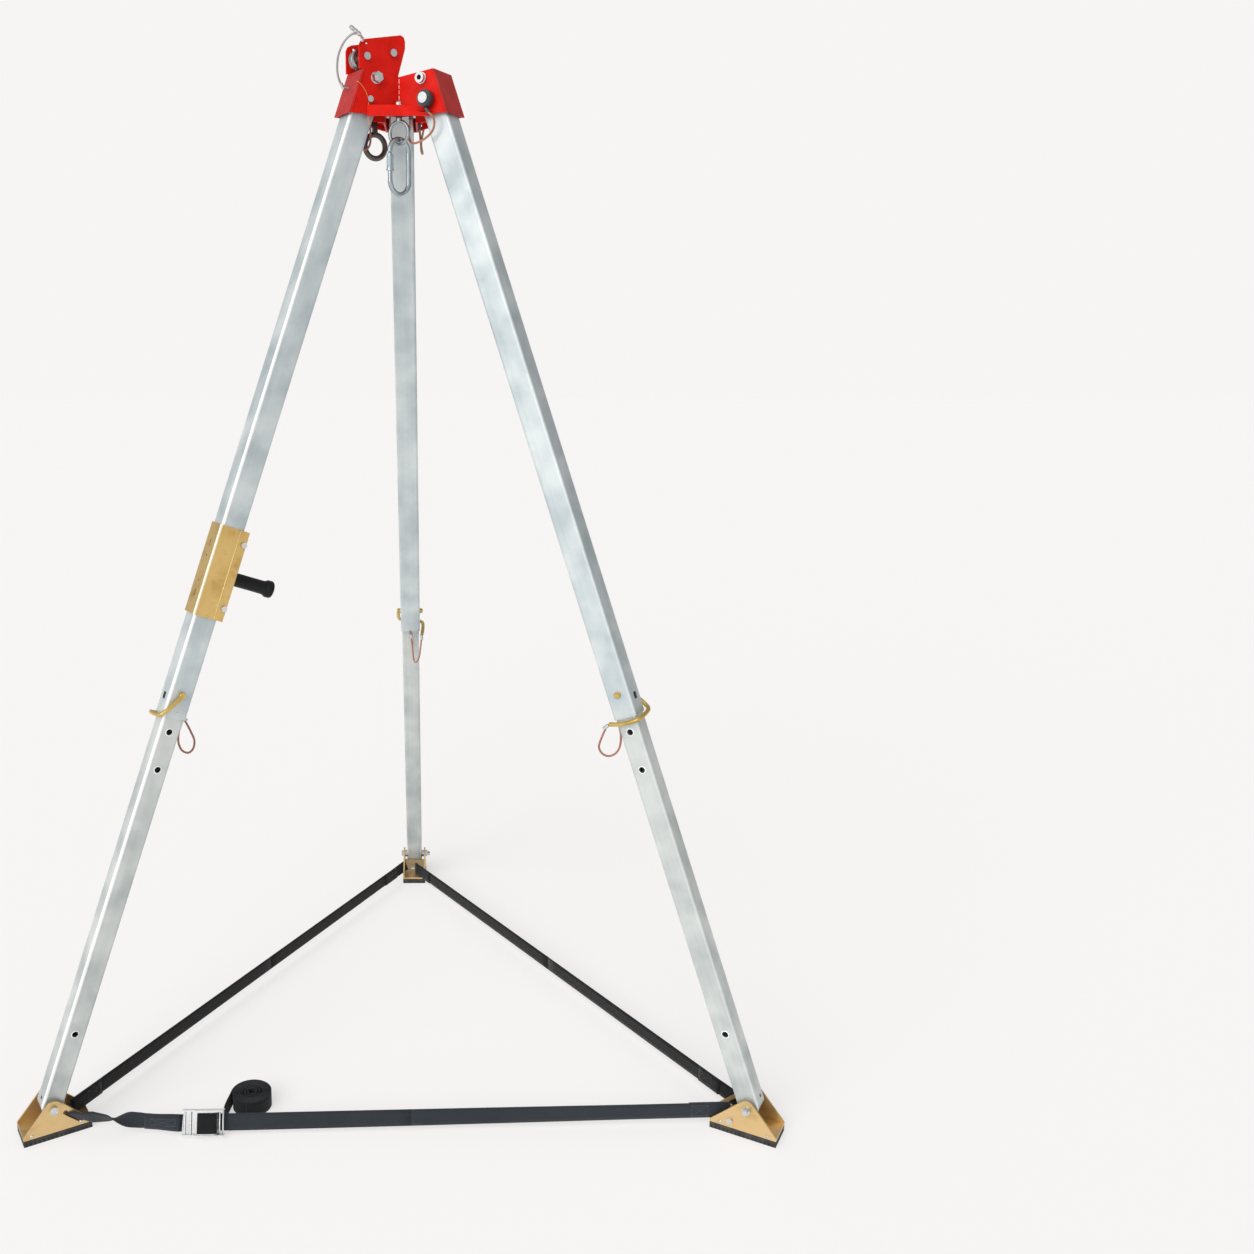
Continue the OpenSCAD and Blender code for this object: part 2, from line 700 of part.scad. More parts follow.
module winch_bracket_bolts() {
  side = winch_half + lip_flare;
  color(steel) on_leg(0) for (d = [winch_bolt_in, winch_len - winch_bolt_in])
    translate([winch_bolt_x, 0, -winch_at - d]) {
      cross_span(winch_bolt_d, -side, side);
      cross_span(winch_bolt_d + 5, side, side + 5);
      translate([0, -side, 0]) rotate([90, 0, 0]) cylinder(d = winch_bolt_d + 6, h = 6, $fn = 6);
    }
}
module winch_clamp_plate() {
  color(zinc) on_leg(0) difference() {
    translate([clamp_x, -winch_half + winch_t - lip_flare / 2, -winch_at - winch_len + 12])
      cube([clamp_t, 2 * winch_half - 2 * winch_t + lip_flare, winch_len - 24]);
    translate([clamp_x - 1, 0, -handle_at]) rotate([0, 90, 0])
      cylinder(d = stud_d + 2 * run_gap, h = clamp_t + 2);
  }
}
module handle_stud() {
  color(steel) on_leg(0) translate([clamp_x, 0, -handle_at]) rotate([0, -90, 0]) {
    translate([0, 0, -clamp_t - 3]) cylinder(d = stud_d, h = grip_len * 0.6 + clamp_t + 3);
    translate([0, 0, -clamp_t - 3]) cylinder(d = stud_d + 6, h = 3 - side_gap);
  }
}
module handle_grip() {
  color(black) on_leg(0) translate([clamp_x - side_gap, 0, -handle_at]) rotate([0, -90, 0])
    difference() {
      union() {
        cylinder(d = grip_d, h = grip_len - 10);
        cylinder(d = grip_d + 5, h = 5);
        translate([0, 0, grip_len - grip_end_d * 0.42]) intersection() {
          sphere(d = grip_end_d);
          translate([0, 0, grip_end_d * 0.06]) cube([50, 50, grip_end_d * 0.72], center = true);
        }
      }
      translate([0, 0, -1]) cylinder(d = stud_d + 2 * run_gap, h = grip_len * 0.6 + 1 + side_gap);
    }
}

// Feet
function tangent(p, c, r, s) =
  let (v = p - c, a = atan2(v[1], v[0]), b = acos(r / norm(v))) c + r * [cos(a + s * b), sin(a + s * b)];
module foot_outline() {
  middle = [0, foot_h];
  inner = [-foot_in, cheek_low];
  outer = [foot_out, cheek_low];
  translate(middle) circle(foot_apex);
  polygon([
    [-foot_in, sole_t], inner, tangent(inner, middle, foot_apex, -1), middle,
    tangent(outer, middle, foot_apex, 1), outer, [foot_out, sole_t]
  ]);
}
module foot_bracket(i) {
  color(zinc) at_foot(i) difference() {
    union() {
      for (y = [-foot_half + foot_t, foot_half])
        translate([0, y, 0]) rotate([90, 0, 0]) linear_extrude(foot_t) foot_outline();
      translate([-foot_in, -foot_half, sole_t]) cube([foot_in + foot_out, foot_w, foot_t]);
    }
    translate([0, 0, foot_h]) cross(foot_bolt_d + 2 * run_gap, foot_w + 2);
    translate([stud_x, -foot_half - 1, stud_z]) rotate([-90, 0, 0])
      cylinder(d = strap_bar_d + 2 * run_gap, h = foot_t + 2);
    translate([slit_x, foot_half + 1, slit_z]) rotate([90, 0, 0]) rotate([0, 0, slit_angle])
      linear_extrude(foot_t + 2) {
        square([2 * slit_half, slit_w], center = true);
        for (x = [-1, 1]) translate([x * slit_half, 0]) circle(d = slit_w);
      }
  }
}
module foot_sole(i) {
  color("darkslategray") at_foot(i) difference() {
    translate([-foot_in, -foot_half, 0]) cube([foot_in + foot_out, foot_w, sole_t]);
    for (x = [-foot_in - 1, foot_out - 1.5]) translate([x, -foot_half - 1, 3]) cube([2.5, foot_w + 2, 2]);
  }
}
module foot_bolts(i) {
  color(steel) at_foot(i) {
    translate([0, 0, foot_h]) {
      cross_span(foot_bolt_d, -foot_half - 6, foot_half);
      cross_span(foot_bolt_d + 5, foot_half, foot_half + 6);
      translate([0, -foot_half, 0]) rotate([90, 0, 0]) cylinder(d = foot_bolt_d + 7, h = 6, $fn = 6);
      for (s = [-1, 1]) difference() {
        cross_span(foot_bolt_d + 8, s > 0 ? lower_w / 2 + side_gap : -foot_half + foot_t,
          s > 0 ? foot_half - foot_t : -lower_w / 2 - side_gap);
        cross(foot_bolt_d, foot_w);
      }
    }
    translate([stud_x, 0, stud_z]) {
      cross_span(strap_bar_d, -foot_half - 4, 10);
      cross_span(strap_bar_d + 4, -foot_half - 4, -foot_half);
    }
  }
}

// Straps: each runs from inside one foot to the slit in the next foot's cheek
function radial(i) = [cos(leg_az[i]), sin(leg_az[i]), 0];
function tangential(i) = [-sin(leg_az[i]), cos(leg_az[i]), 0];
function foot_point(i, x, y, z) = (foot_r + x) * radial(i) + y * tangential(i) + [0, 0, z];
function strap_start(i) = foot_point(i, strap_in, strap_from_y, strap_z);
function slit_middle(j) = foot_point(j, slit_x, foot_half - foot_t / 2, slit_z);
function slit_across(j) = cos(slit_angle) * radial(j) + [0, 0, sin(slit_angle)];

// A flat band through sections, each with its middle, its upward direction and its width
module ribbon(sections, t) {
  n = len(sections);
  middle = [for (s = sections) s[0]];
  points = [for (i = [0:n - 1])
    let (w = way(middle, i), up = unit(sections[i][1] - w * (sections[i][1] * w)), out = cross3(w, up))
    for (c = [[-1, -1], [1, -1], [1, 1], [-1, 1]])
      middle[i] + c[0] * t / 2 * out + c[1] * sections[i][2] / 2 * up];
  walls = [for (i = [0:n - 2], k = [0:3]) let (m = (k + 1) % 4)
    each [[i * 4 + k, (i + 1) * 4 + m, i * 4 + m], [i * 4 + k, (i + 1) * 4 + k, (i + 1) * 4 + m]]];
  last = (n - 1) * 4;
  ends = [[0, 1, 2], [0, 2, 3], [last, last + 2, last + 1], [last, last + 3, last + 2]];
  polyhedron(points, concat(walls, ends));
}
up = [0, 0, 1];
// The last stretch before the slit in foot j, coming from the point a
function slit_sections(a, j) =
  let (s = slit_middle(j), w = unit(s - a))
  [[s - 60 * w, up, strap_w], [s - 20 * w, slit_across(j), strap_end_w], [s + 12 * w, slit_across(j), strap_end_w]];

// Buckle frame of reference: x along the strap towards the right foot, y away from the front
buckle_turn = atan2(strap_start(1)[1] - buckle_y, strap_start(1)[0] - buckle_x) * 0.6;
function in_buckle(x, y) =
  [buckle_x, buckle_y, buckle_z] + x * [cos(buckle_turn), sin(buckle_turn), 0]
  + y * [-sin(buckle_turn) * cos(buckle_lean), cos(buckle_turn) * cos(buckle_lean), -sin(buckle_lean)];
buckle_up = [0, sin(buckle_lean), cos(buckle_lean)];
module at_buckle() {
  at_axis() translate([buckle_x, buckle_y, buckle_z])
    rotate([0, 0, buckle_turn]) rotate([-buckle_lean, 0, 0]) children();
}

module strap_front() {
  a = strap_start(1);
  b = in_buckle(buckle_len / 2 + 40, strap_in_buckle);
  color(black) at_axis() ribbon([
    [a, up, strap_w], [a + 0.2 * (b - a), up, strap_w], [b, buckle_up, strap_w],
    [in_buckle(buckle_len / 2, strap_in_buckle), buckle_up, strap_w],
    [in_buckle(-10, strap_in_buckle), buckle_up, strap_w]
  ], strap_t);
}
module strap_front_end() {
  a = in_buckle(-buckle_len / 2 + 1, 0);
  color(black) at_axis() ribbon(concat(
    [[a, buckle_up, strap_w], [in_buckle(-buckle_len / 2 - 60, 0), up, strap_w]], slit_sections(a, 0)
  ), strap_t);
}
module straps_rear() {
  color(black) at_axis() for (p = [[0, 2], [2, 1]])
    ribbon(concat([[strap_start(p[0]), up, strap_w]], slit_sections(strap_start(p[0]), p[1])), strap_t);
}

// Cam buckle on the front strap, leaning away from the front
module buckle_frame() {
  color(steel) at_buckle() {
    for (s = [-1, 1]) translate([0, 0, s * (buckle_h - buckle_side) / 2]) difference() {
      translate([-buckle_len / 2, -11, -buckle_side / 2]) cube([buckle_len, 22, buckle_side]);
      translate([-buckle_len / 2 - 1, -12, -buckle_side / 2 - 1]) cube([28, 7, buckle_side + 2]);
    }
    translate([-14, buckle_plate, -buckle_h / 2]) cube([46, 2.7, buckle_h]);
    translate([-buckle_len / 2 + 6, 0, -buckle_h / 2]) cylinder(d = 5, h = buckle_h);
    translate([-buckle_len / 2 + 18, 0, -buckle_h / 2]) cylinder(d = 5, h = buckle_h);
    translate([cam_x, -2, -buckle_h / 2]) cylinder(d = cam_pin_d, h = buckle_h);
  }
}
module buckle_cam() {
  tall = buckle_h - 2 * buckle_side - 2 * side_gap;
  color(steel) at_buckle() translate([cam_x, -2, -tall / 2]) difference() {
    union() {
      cylinder(r = cam_r, h = tall);
      translate([-34, -cam_r, 0]) cube([34, 3, tall]);
    }
    translate([0, 0, -1]) cylinder(d = cam_pin_d + 2 * run_gap, h = tall + 2);
  }
}

// The strap's free end: a short tail from the buckle, then a roll that stands on the floor
roll_turn_count = roll_turns * roll_steps;
function roll_radius(n) = roll_eye + roll_pitch * n / roll_steps;
roll_out = roll_radius(roll_turn_count);
function roll_line() = concat(
  spline(tail_points, 3),
  [for (n = [0:roll_turn_count])
    let (r = roll_radius(roll_turn_count - n), a = 180 - n * 360 / roll_steps)
    [roll_x + r * cos(a), roll_y + r * sin(a)]]
);
function edge_of(p, s) = [for (i = [0:len(p) - 1])
  let (w = way(p, i)) p[i] + s * strap_t / 2 * [-w[1], w[0]]];
function reversed(p) = [for (i = [len(p) - 1:-1:0]) p[i]];
module strap_roll() {
  line = roll_line();
  color(black) at_axis() linear_extrude(strap_w)
    polygon(concat(edge_of(line, 1), reversed(edge_of(line, -1))));
  first = len(line) - roll_turn_count - 1;
  gaps = [for (i = [first:len(line) - roll_steps - 1]) norm(line[i + roll_steps] - line[i]) - strap_t];
  echo(least_gap_in_the_roll = min(gaps));
}

head_plate(0, 0, 1);  // head_plate_front
head_plate(1, 2, 0);  // head_plate_left
head_plate(2, 1, 2);  // head_plate_right
channel_webs();
pivot_fasteners();
leg_spacers();
eyebolt_front();
eyebolt_rear();
eyebolt_nuts();
pulley_plates();
sheave(sheave_outer_x, sheave_outer_z);  // pulley_sheave_outer
sheave(sheave_inner_x, sheave_inner_z);  // pulley_sheave_inner
sheave_axles();
bracket_cable();
lock_pin(0);  // lock_pin_left
lock_pin(1);  // lock_pin_right
lock_pin(2);  // lock_pin_rear
lock_knob(0);  // lock_knob_left
lock_knob(1);  // lock_knob_right
lock_knob(2);  // lock_knob_rear
lock_button(0);  // lock_button_left
lock_button(1);  // lock_button_right
lock_button(2);  // lock_button_rear
lock_lanyards();
carabiner_body();
carabiner_gate();
carabiner_sleeve();
upper_tube(0);  // upper_tube_left
upper_tube(1);  // upper_tube_right
upper_tube(2);  // upper_tube_rear
lower_tube(0);  // lower_tube_left
lower_tube(1);  // lower_tube_right
lower_tube(2);  // lower_tube_rear
hitch_pin(0);  // hitch_pin_left
hitch_pin(1);  // hitch_pin_right
hitch_pin(2);  // hitch_pin_rear
hitch_lanyard(0);  // hitch_lanyard_left
hitch_lanyard(1);  // hitch_lanyard_right
hitch_lanyard(2);  // hitch_lanyard_rear
winch_bracket();
winch_bracket_bolts();
winch_clamp_plate();
handle_stud();
handle_grip();
foot_bracket(0);  // foot_bracket_left
foot_bracket(1);  // foot_bracket_right
foot_bracket(2);  // foot_bracket_rear
foot_sole(0);  // foot_sole_left
foot_sole(1);  // foot_sole_right
foot_sole(2);  // foot_sole_rear
foot_bolts(0);  // foot_bolts_left
foot_bolts(1);  // foot_bolts_right
foot_bolts(2);  // foot_bolts_rear
strap_front();
strap_front_end();
straps_rear();
buckle_frame();
buckle_cam();
strap_roll();
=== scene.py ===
# %% [markdown]
# # A rescue tripod, dressed for its picture
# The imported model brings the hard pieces: head plates, tubes, brackets, feet, bolts and pins,
# each at its real size and place. This lesson gives them their finishes, and models what
# a CAD solid only stands in for: webbing straps, a rolled strap end, wire lanyards, welds and knurling.
# We start by loading the model, because everything else is placed from it.

# %% Load the model
import json
import math

import bmesh
import bpy
from mathutils import Matrix, Vector


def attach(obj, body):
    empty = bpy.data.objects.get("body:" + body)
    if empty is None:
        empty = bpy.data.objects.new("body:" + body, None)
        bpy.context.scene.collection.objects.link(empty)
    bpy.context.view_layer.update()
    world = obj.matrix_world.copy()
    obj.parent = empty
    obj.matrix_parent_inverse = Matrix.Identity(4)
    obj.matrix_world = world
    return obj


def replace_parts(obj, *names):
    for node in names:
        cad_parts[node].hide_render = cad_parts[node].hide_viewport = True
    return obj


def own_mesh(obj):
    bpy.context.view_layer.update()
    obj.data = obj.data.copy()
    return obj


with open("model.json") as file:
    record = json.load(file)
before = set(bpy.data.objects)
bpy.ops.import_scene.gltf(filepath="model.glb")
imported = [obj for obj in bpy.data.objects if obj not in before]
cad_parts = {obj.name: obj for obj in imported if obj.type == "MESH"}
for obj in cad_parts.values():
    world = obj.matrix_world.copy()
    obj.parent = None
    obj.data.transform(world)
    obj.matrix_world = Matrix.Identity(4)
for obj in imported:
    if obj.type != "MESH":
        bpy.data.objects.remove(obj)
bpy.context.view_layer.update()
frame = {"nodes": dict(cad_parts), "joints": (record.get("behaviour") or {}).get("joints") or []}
joint = {j["name"]: j for j in frame["joints"]}

# %% [markdown]
# The tripod stands on three legs that are alike, so a piece is drawn once, in a leg's own
# directions, and placed three times. A leg's frame has its origin at the pivot bolt: x points
# away from the tripod's axis, y runs across the leg, and z points up along it. The directions
# come from the joints: the fold joint's axis is y, and the extend joint's axis is z.

# %% Frames of the legs, the head and the feet
SIDES = ("left", "right", "rear")
UP = Vector((0, 0, 1))


def frame_from(x, y, z, origin):
    place = Matrix((x, y, z)).transposed().to_4x4()
    place.translation = origin
    return place


def joint_spot(name):
    return Vector(joint[name]["pos_m"])


def side_frame(side, up, origin):
    across = Vector(joint["fold_" + side]["axis"])
    return frame_from(across.cross(up), across, up, origin)


AXIS = sum((joint_spot("fold_" + side) for side in SIDES), Vector()) / 3
LEG = {}
HEAD = {}
FOOT = {}
for side in SIDES:
    LEG[side] = side_frame(side, Vector(joint["extend_" + side]["axis"]), joint_spot("fold_" + side))
    HEAD[side] = side_frame(side, UP, AXIS)
    FOOT[side] = side_frame(side, UP, joint_spot("foot_tilt_" + side) * Vector((1, 1, 0)))
print("leg pivots are", round(AXIS.z, 3), "m up; the axis is at y =", round(AXIS.y, 4))

# %% [markdown]
# The camera comes first, so that every render can be held against the photograph. It looks
# down by about 13 degrees from 1.56 m up, a little to the right of the tripod's axis, and the
# lens shift puts the tripod left of the frame's middle.

# %% Camera
CAMERA_RIGHT = 0.08687
CAMERA_BACK = 2.58076
CAMERA_HEIGHT = 1.5633
CAMERA_PITCH = 12.96
LENS = 34.19
SENSOR = 36
SHIFT = 0.1468


def in_scene(name, data):
    made = bpy.data.objects.new(name, data)
    bpy.context.scene.collection.objects.link(made)
    return made


camera_data = bpy.data.cameras.new("studio_camera")
camera_data.lens = LENS
camera_data.sensor_width = SENSOR
camera_data.shift_x = SHIFT
camera = in_scene("studio_camera", camera_data)
camera.location = (CAMERA_RIGHT, AXIS.y - CAMERA_BACK, CAMERA_HEIGHT)
camera.rotation_euler = (math.radians(90 - CAMERA_PITCH), 0, 0)
bpy.context.scene.camera = camera
print("camera at", [round(v, 3) for v in camera.location])

# %% [markdown]
# A finish is a node tree. Shader arithmetic reads best as plain Python, so a small class wraps
# a socket and turns +, -, *, % and > into Math nodes. A second class makes any other node of a
# tree from its type, its settings and its inputs, and a third class is one material.

# %% Shader expressions

class Value:
    def __init__(self, nodes, socket):
        self.nodes = nodes
        self.socket = socket

    def __add__(self, other):
        return self.nodes.math("ADD", self, other)

    def __radd__(self, other):
        return self.nodes.math("ADD", other, self)

    def __sub__(self, other):
        return self.nodes.math("SUBTRACT", self, other)

    def __rsub__(self, other):
        return self.nodes.math("SUBTRACT", other, self)

    def __mul__(self, other):
        return self.nodes.math("MULTIPLY", self, other)

    def __rmul__(self, other):
        return self.nodes.math("MULTIPLY", other, self)

    def __mod__(self, other):
        return self.nodes.math("FLOORED_MODULO", self, other)

    def __gt__(self, other):
        return self.nodes.math("GREATER_THAN", self, other)


class Nodes:
    def __init__(self, tree):
        self.tree = tree

    def feed(self, socket, value):
        if isinstance(value, Value):
            self.tree.links.new(value.socket, socket)
        else:
            socket.default_value = (*value, 1) if socket.type == "RGBA" else value

    def node(self, kind, settings=None, values=None, out=0):
        made = self.tree.nodes.new(kind)
        for name, setting in (settings or {}).items():
            if name == "stops":
                ramp = made.color_ramp
                for _ in setting[2:]:
                    ramp.elements.new(0.5)
                for element, (place, color) in zip(ramp.elements, setting):
                    element.position = place
                    element.color = (*color, 1)
            else:
                setattr(made, name, setting)
        for name, value in (values or {}).items():
            self.feed(made.inputs[name], value)
        return Value(self, made.outputs[out])

    def math(self, operation, *terms):
        return self.node("ShaderNodeMath", {"operation": operation}, dict(enumerate(terms)))

    def ray(self, kind):
        return self.node("ShaderNodeLightPath", out="Is " + kind + " Ray")


class Finish(Nodes):
    def __init__(self, name, color, roughness, metallic=0.0, **constants):
        self.material = bpy.data.materials.new(name)
        self.material.use_nodes = True
        super().__init__(self.material.node_tree)
        self.surface = self.tree.nodes["Principled BSDF"]
        constants.update(Base_Color=color, Roughness=roughness, Metallic=metallic)
        for socket, value in constants.items():
            self.set(socket.replace("_", " "), value)

    def set(self, socket, value):
        self.feed(self.surface.inputs[socket], value)

    def here(self):
        return self.node("ShaderNodeTexCoord", out="Object")

    def noise(self, where, scale, detail=2.0):
        return self.node("ShaderNodeTexNoise", {}, {"Vector": where, "Scale": scale, "Detail": detail})

    def along(self, direction):
        product = {"operation": "DOT_PRODUCT"}
        return self.node("ShaderNodeVectorMath", product, {0: self.here(), 1: tuple(direction)}, "Value")

    def shades(self, mask, stops):
        return self.node("ShaderNodeValToRGB", {"stops": stops}, {"Fac": mask})

    def bump(self, height, distance, strength=1.0):
        values = {"Height": height, "Distance": distance, "Strength": strength}
        self.set("Normal", self.node("ShaderNodeBump", {}, values))

    def blend(self, mask, first, second):
        return self.node("ShaderNodeMix", {"data_type": "RGBA"}, {0: mask, 6: first, 7: second}, out=2)


def srgb(red, green, blue):
    shares = (level / 255 for level in (red, green, blue))
    return tuple(((s + 0.055) / 1.055) ** 2.4 if s > 0.04 else s / 12.92 for s in shares)


print("a mid grey of 128 is", round(srgb(128, 128, 128)[0], 3), "in linear light")

# %% [markdown]
# The head is welded steel under a red powder coat. Powder coat has a fine orange-peel surface
# and a satin gloss that varies a little, where hands and ropes have polished it. The outer
# webs get a duller, pinker coat, a painted reflection of the white room at grazing angles.

# %% Red powder coat


def painted(name, deep, plain, rubbed):
    paint = Finish(name, plain, 0.42, Coat_Roughness=0.25, Specular_IOR_Level=0.14)
    handled = paint.noise(paint.here(), 35, 5)
    paint.set("Base Color", paint.shades(handled, [(0.3, deep), (0.55, plain), (0.8, rubbed)]))
    paint.set("Roughness", handled * 0.3 + 0.26)
    paint.set("Coat Weight", handled * 0.06)
    paint.bump(paint.noise(paint.here(), 700), 0.00015, 0.5)
    return paint


powder_coat = painted("red_powder_coat", srgb(190, 17, 5), srgb(205, 20, 6), srgb(213, 33, 14))
# Duller, pinker coat for the outer webs: a painted reflection of the white room at grazing angles.
web_sheen_coat = painted("powder_coat_painted_sheen", srgb(158, 34, 30), srgb(170, 42, 38), srgb(178, 56, 50))
# Pale pink for small marks down the head's front bend: painted highlights.
dash_highlight_paint = Finish("dash_highlight_paint", srgb(232, 190, 180), 0.5)
print("paints:", powder_coat.material.name, web_sheen_coat.material.name)

# %% [markdown]
# The tubes are drawn aluminium, left bare. Drawing leaves fine lines along each tube, so each
# leg has its own copy of the finish, whose noise is stretched along that leg. Bluish stains
# keep the long faces from looking computed. A painted highlight runs along the outer corners,
# strongest on the left leg and faint on the others: a corner is where the distances from the
# tube's two middle planes are both nearly half its width. The same painted highlight lies on
# the winch bracket, which is folded from plated sheet.

# %% Drawn aluminium
UPPER_HALF = 0.025
LOWER_HALF = 0.022
UPPER_COLORS = (srgb(216, 222, 221), srgb(176, 188, 192))
LOWER_COLORS = (srgb(210, 214, 211), srgb(172, 180, 180))
PAINTED_HIGHLIGHT = srgb(250, 250, 249)
# Strength and width of the painted highlight along each leg's outer corners.
LEG_HIGHLIGHT = {"left": (0.8, 0.0055), "right": (0.3, 0.0035), "rear": (0.4, 0.0035)}
EDGE_BLUR = 0.0007


def corner_band(metal, side, half, width):
    outward, across = (LEG[side].col[i].xyz for i in range(2))
    aside = metal.math("ABSOLUTE", metal.along(across) - LEG[side].translation.dot(across))
    depth = metal.along(outward) - LEG[side].translation.dot(outward)
    corner = metal.math("MINIMUM", aside, depth)
    limits = {"From Min": half - width - EDGE_BLUR, "From Max": half - width + EDGE_BLUR}
    return metal.node("ShaderNodeMapRange", {}, {"Value": corner, **limits})


def drawn_aluminium(name, side, pale, dull, half):
    metal = Finish(name, pale, 0.4, 0.55)
    outward, across, up = (LEG[side].col[i].xyz for i in range(3))

    def stretched(fine, long):
        scales = ((outward, fine), (across, fine), (up, long))
        spot = {i: metal.along(direction) * scale for i, (direction, scale) in enumerate(scales)}
        return metal.noise(metal.node("ShaderNodeCombineXYZ", {}, spot), 1.0, 3)

    lines = stretched(900, 4)
    bands = stretched(140, 1.5)
    smudges = metal.shades(metal.noise(metal.here(), 13, 5), [(0.36, (0, 0, 0)), (0.66, (1, 1, 1))])
    wear = smudges * 0.62 + bands * 0.4
    highlight_strength, width = LEG_HIGHLIGHT[side]
    # Painted highlight: the corners are blended towards near white.
    corner_highlight = corner_band(metal, side, half, width) * highlight_strength
    metal.set("Base Color", metal.blend(corner_highlight, metal.blend(wear, pale, dull), PAINTED_HIGHLIGHT))
    metal.set("Roughness", lines * 0.2 + smudges * 0.14 + 0.26)
    metal.set("Metallic", wear * 0.3 + 0.4)
    metal.bump(lines, 0.00004, 0.6)
    return metal


UPPER_FINISH = {}
LOWER_FINISH = {}
for side in SIDES:
    UPPER_FINISH[side] = drawn_aluminium("upper_aluminium_" + side, side, *UPPER_COLORS, UPPER_HALF)
    LOWER_FINISH[side] = drawn_aluminium("lower_aluminium_" + side, side, *LOWER_COLORS, LOWER_HALF)
print("aluminium finishes:", len(UPPER_FINISH) + len(LOWER_FINISH))

# %% [markdown]
# The feet, the winch bracket and the hitch pins are steel with a yellow passivated zinc
# plating. It is a metal with a thin coloured film, so its colour wanders between cream, straw
# and ochre over a few centimetres. A colour ramp over two scales of noise gives that.

# %% Yellow zinc
FOOT_FILM = [(0.3, (202, 168, 112)), (0.44, (224, 192, 136))]
FOOT_FILM += [(0.58, (228, 196, 144)), (0.72, (212, 180, 124))]
SHEET_FILM = [(0.3, (188, 152, 84)), (0.42, (216, 182, 112))]
SHEET_FILM += [(0.56, (224, 190, 122)), (0.7, (200, 164, 94))]
PIN_FILM = [(0.36, (186, 156, 78)), (0.5, (216, 188, 110)), (0.64, (200, 170, 92))]
SHEET_HALF = 0.0284
SHEET_HIGHLIGHT_WIDTH = 0.0045


def passivated(name, film, roughness):
    stops = [(place, srgb(*color)) for place, color in film]
    plating = Finish(name, stops[1][1], roughness, 0.85)
    cloud = plating.noise(plating.here(), 15, 2) * 0.8 + plating.noise(plating.here(), 90, 2) * 0.2
    plating.film = plating.shades(cloud, stops)
    plating.set("Base Color", plating.film)
    plating.set("Roughness", plating.noise(plating.here(), 140, 4) * 0.3 + roughness - 0.12)
    plating.bump(plating.noise(plating.here(), 500), 0.00005, 0.5)
    return plating


yellow_zinc = passivated("plated_yellow_zinc", FOOT_FILM, 0.34)
sheet_zinc = passivated("plated_sheet", SHEET_FILM, 0.3)
# Painted highlight: a cream band along the bracket's corners, where the tube's highlight runs on.
band = corner_band(sheet_zinc, "left", SHEET_HALF, SHEET_HIGHLIGHT_WIDTH)
sheet_zinc.set("Base Color", sheet_zinc.blend(band * 0.85, sheet_zinc.film, srgb(255, 246, 222)))
# Near-white zinc for the painted highlight along the bracket's creases.
crease_highlight_zinc = Finish("crease_highlight_zinc", srgb(250, 226, 168), 0.3, 1.0)
pin_zinc = passivated("pin_zinc", PIN_FILM, 0.26)
print("platings:", [f.material.name for f in (yellow_zinc, sheet_zinc, crease_highlight_zinc, pin_zinc)])

# %% [markdown]
# Bolts, nuts and the buckle are bright zinc, the carabiner and the front ring are polished
# steel, and the rear ring is dark forged steel. One helper makes them all: a metal with faint
# scratches, from a noise that is fine and high in contrast.

# %% Steels


def steel(name, color, roughness, worn):
    metal = Finish(name, color, roughness, 1.0)
    scuffs = metal.noise(metal.here(), 260, 6)
    stains = metal.noise(metal.here(), 40, 3)
    metal.set("Base Color", metal.blend(stains, color, worn))
    metal.set("Roughness", scuffs * 0.22 + roughness - 0.1)
    metal.bump(scuffs, 0.00005, 0.5)
    return metal


bright_zinc = steel("bright_zinc", srgb(232, 234, 234), 0.28, srgb(196, 198, 198))
carabiner_steel = steel("polished_carabiner", srgb(200, 210, 214), 0.2, srgb(150, 162, 168))
ring_steel = steel("ring_steel", srgb(184, 192, 195), 0.22, srgb(136, 144, 148))
forged_steel = steel("forged_steel", srgb(122, 114, 110), 0.34, srgb(70, 66, 64))
rim_metal = Finish("rim_metal", srgb(244, 245, 245), 0.4, 0.2)
ferrule_grey = steel("ferrule_grey", srgb(120, 130, 138), 0.4, srgb(84, 92, 98))
# Dark, for the painted shade inside the bolt sockets.
socket_shade_steel = steel("socket_shade_steel", srgb(46, 47, 48), 0.5, srgb(28, 29, 30))
print("steels:", [f.material.name for f in (bright_zinc, carabiner_steel, forged_steel, socket_shade_steel)])

# %% [markdown]
# Plastic, rubber and the cable sleeve are not metals. Their surfaces differ in grain: the grip
# and spacers are satin mouldings, the soles are dull rubber that has picked up dust, and
# the lanyards are wire rope in a clear sleeve that has turned reddish brown.

# %% Plastic, rubber and sleeve


def moulding(name, color, dusty, roughness, grain, **constants):
    plastic = Finish(name, color, roughness, 0.0, **constants)
    dust = plastic.noise(plastic.here(), 48, 5)
    plastic.set("Base Color", plastic.blend(dust * dust, color, dusty))
    plastic.set("Roughness", dust * 0.2 + roughness - 0.1)
    plastic.bump(plastic.noise(plastic.here(), grain, 3), 0.00012, 0.5)
    return plastic


black_plastic = moulding(
    "satin_black_plastic", srgb(13, 14, 15), srgb(28, 30, 31), 0.4, 900, Specular_IOR_Level=0.24
)
knob_plastic = moulding("knob_plastic", srgb(34, 46, 48), srgb(64, 76, 78), 0.34, 700, Coat_Weight=0.2)
sole_rubber = moulding("dusty_sole_rubber", srgb(30, 31, 32), srgb(92, 90, 86), 0.78, 420)
cable_sleeve = moulding("cable_sleeve", srgb(142, 84, 62), srgb(186, 132, 104), 0.32, 1400, Coat_Weight=0.5)
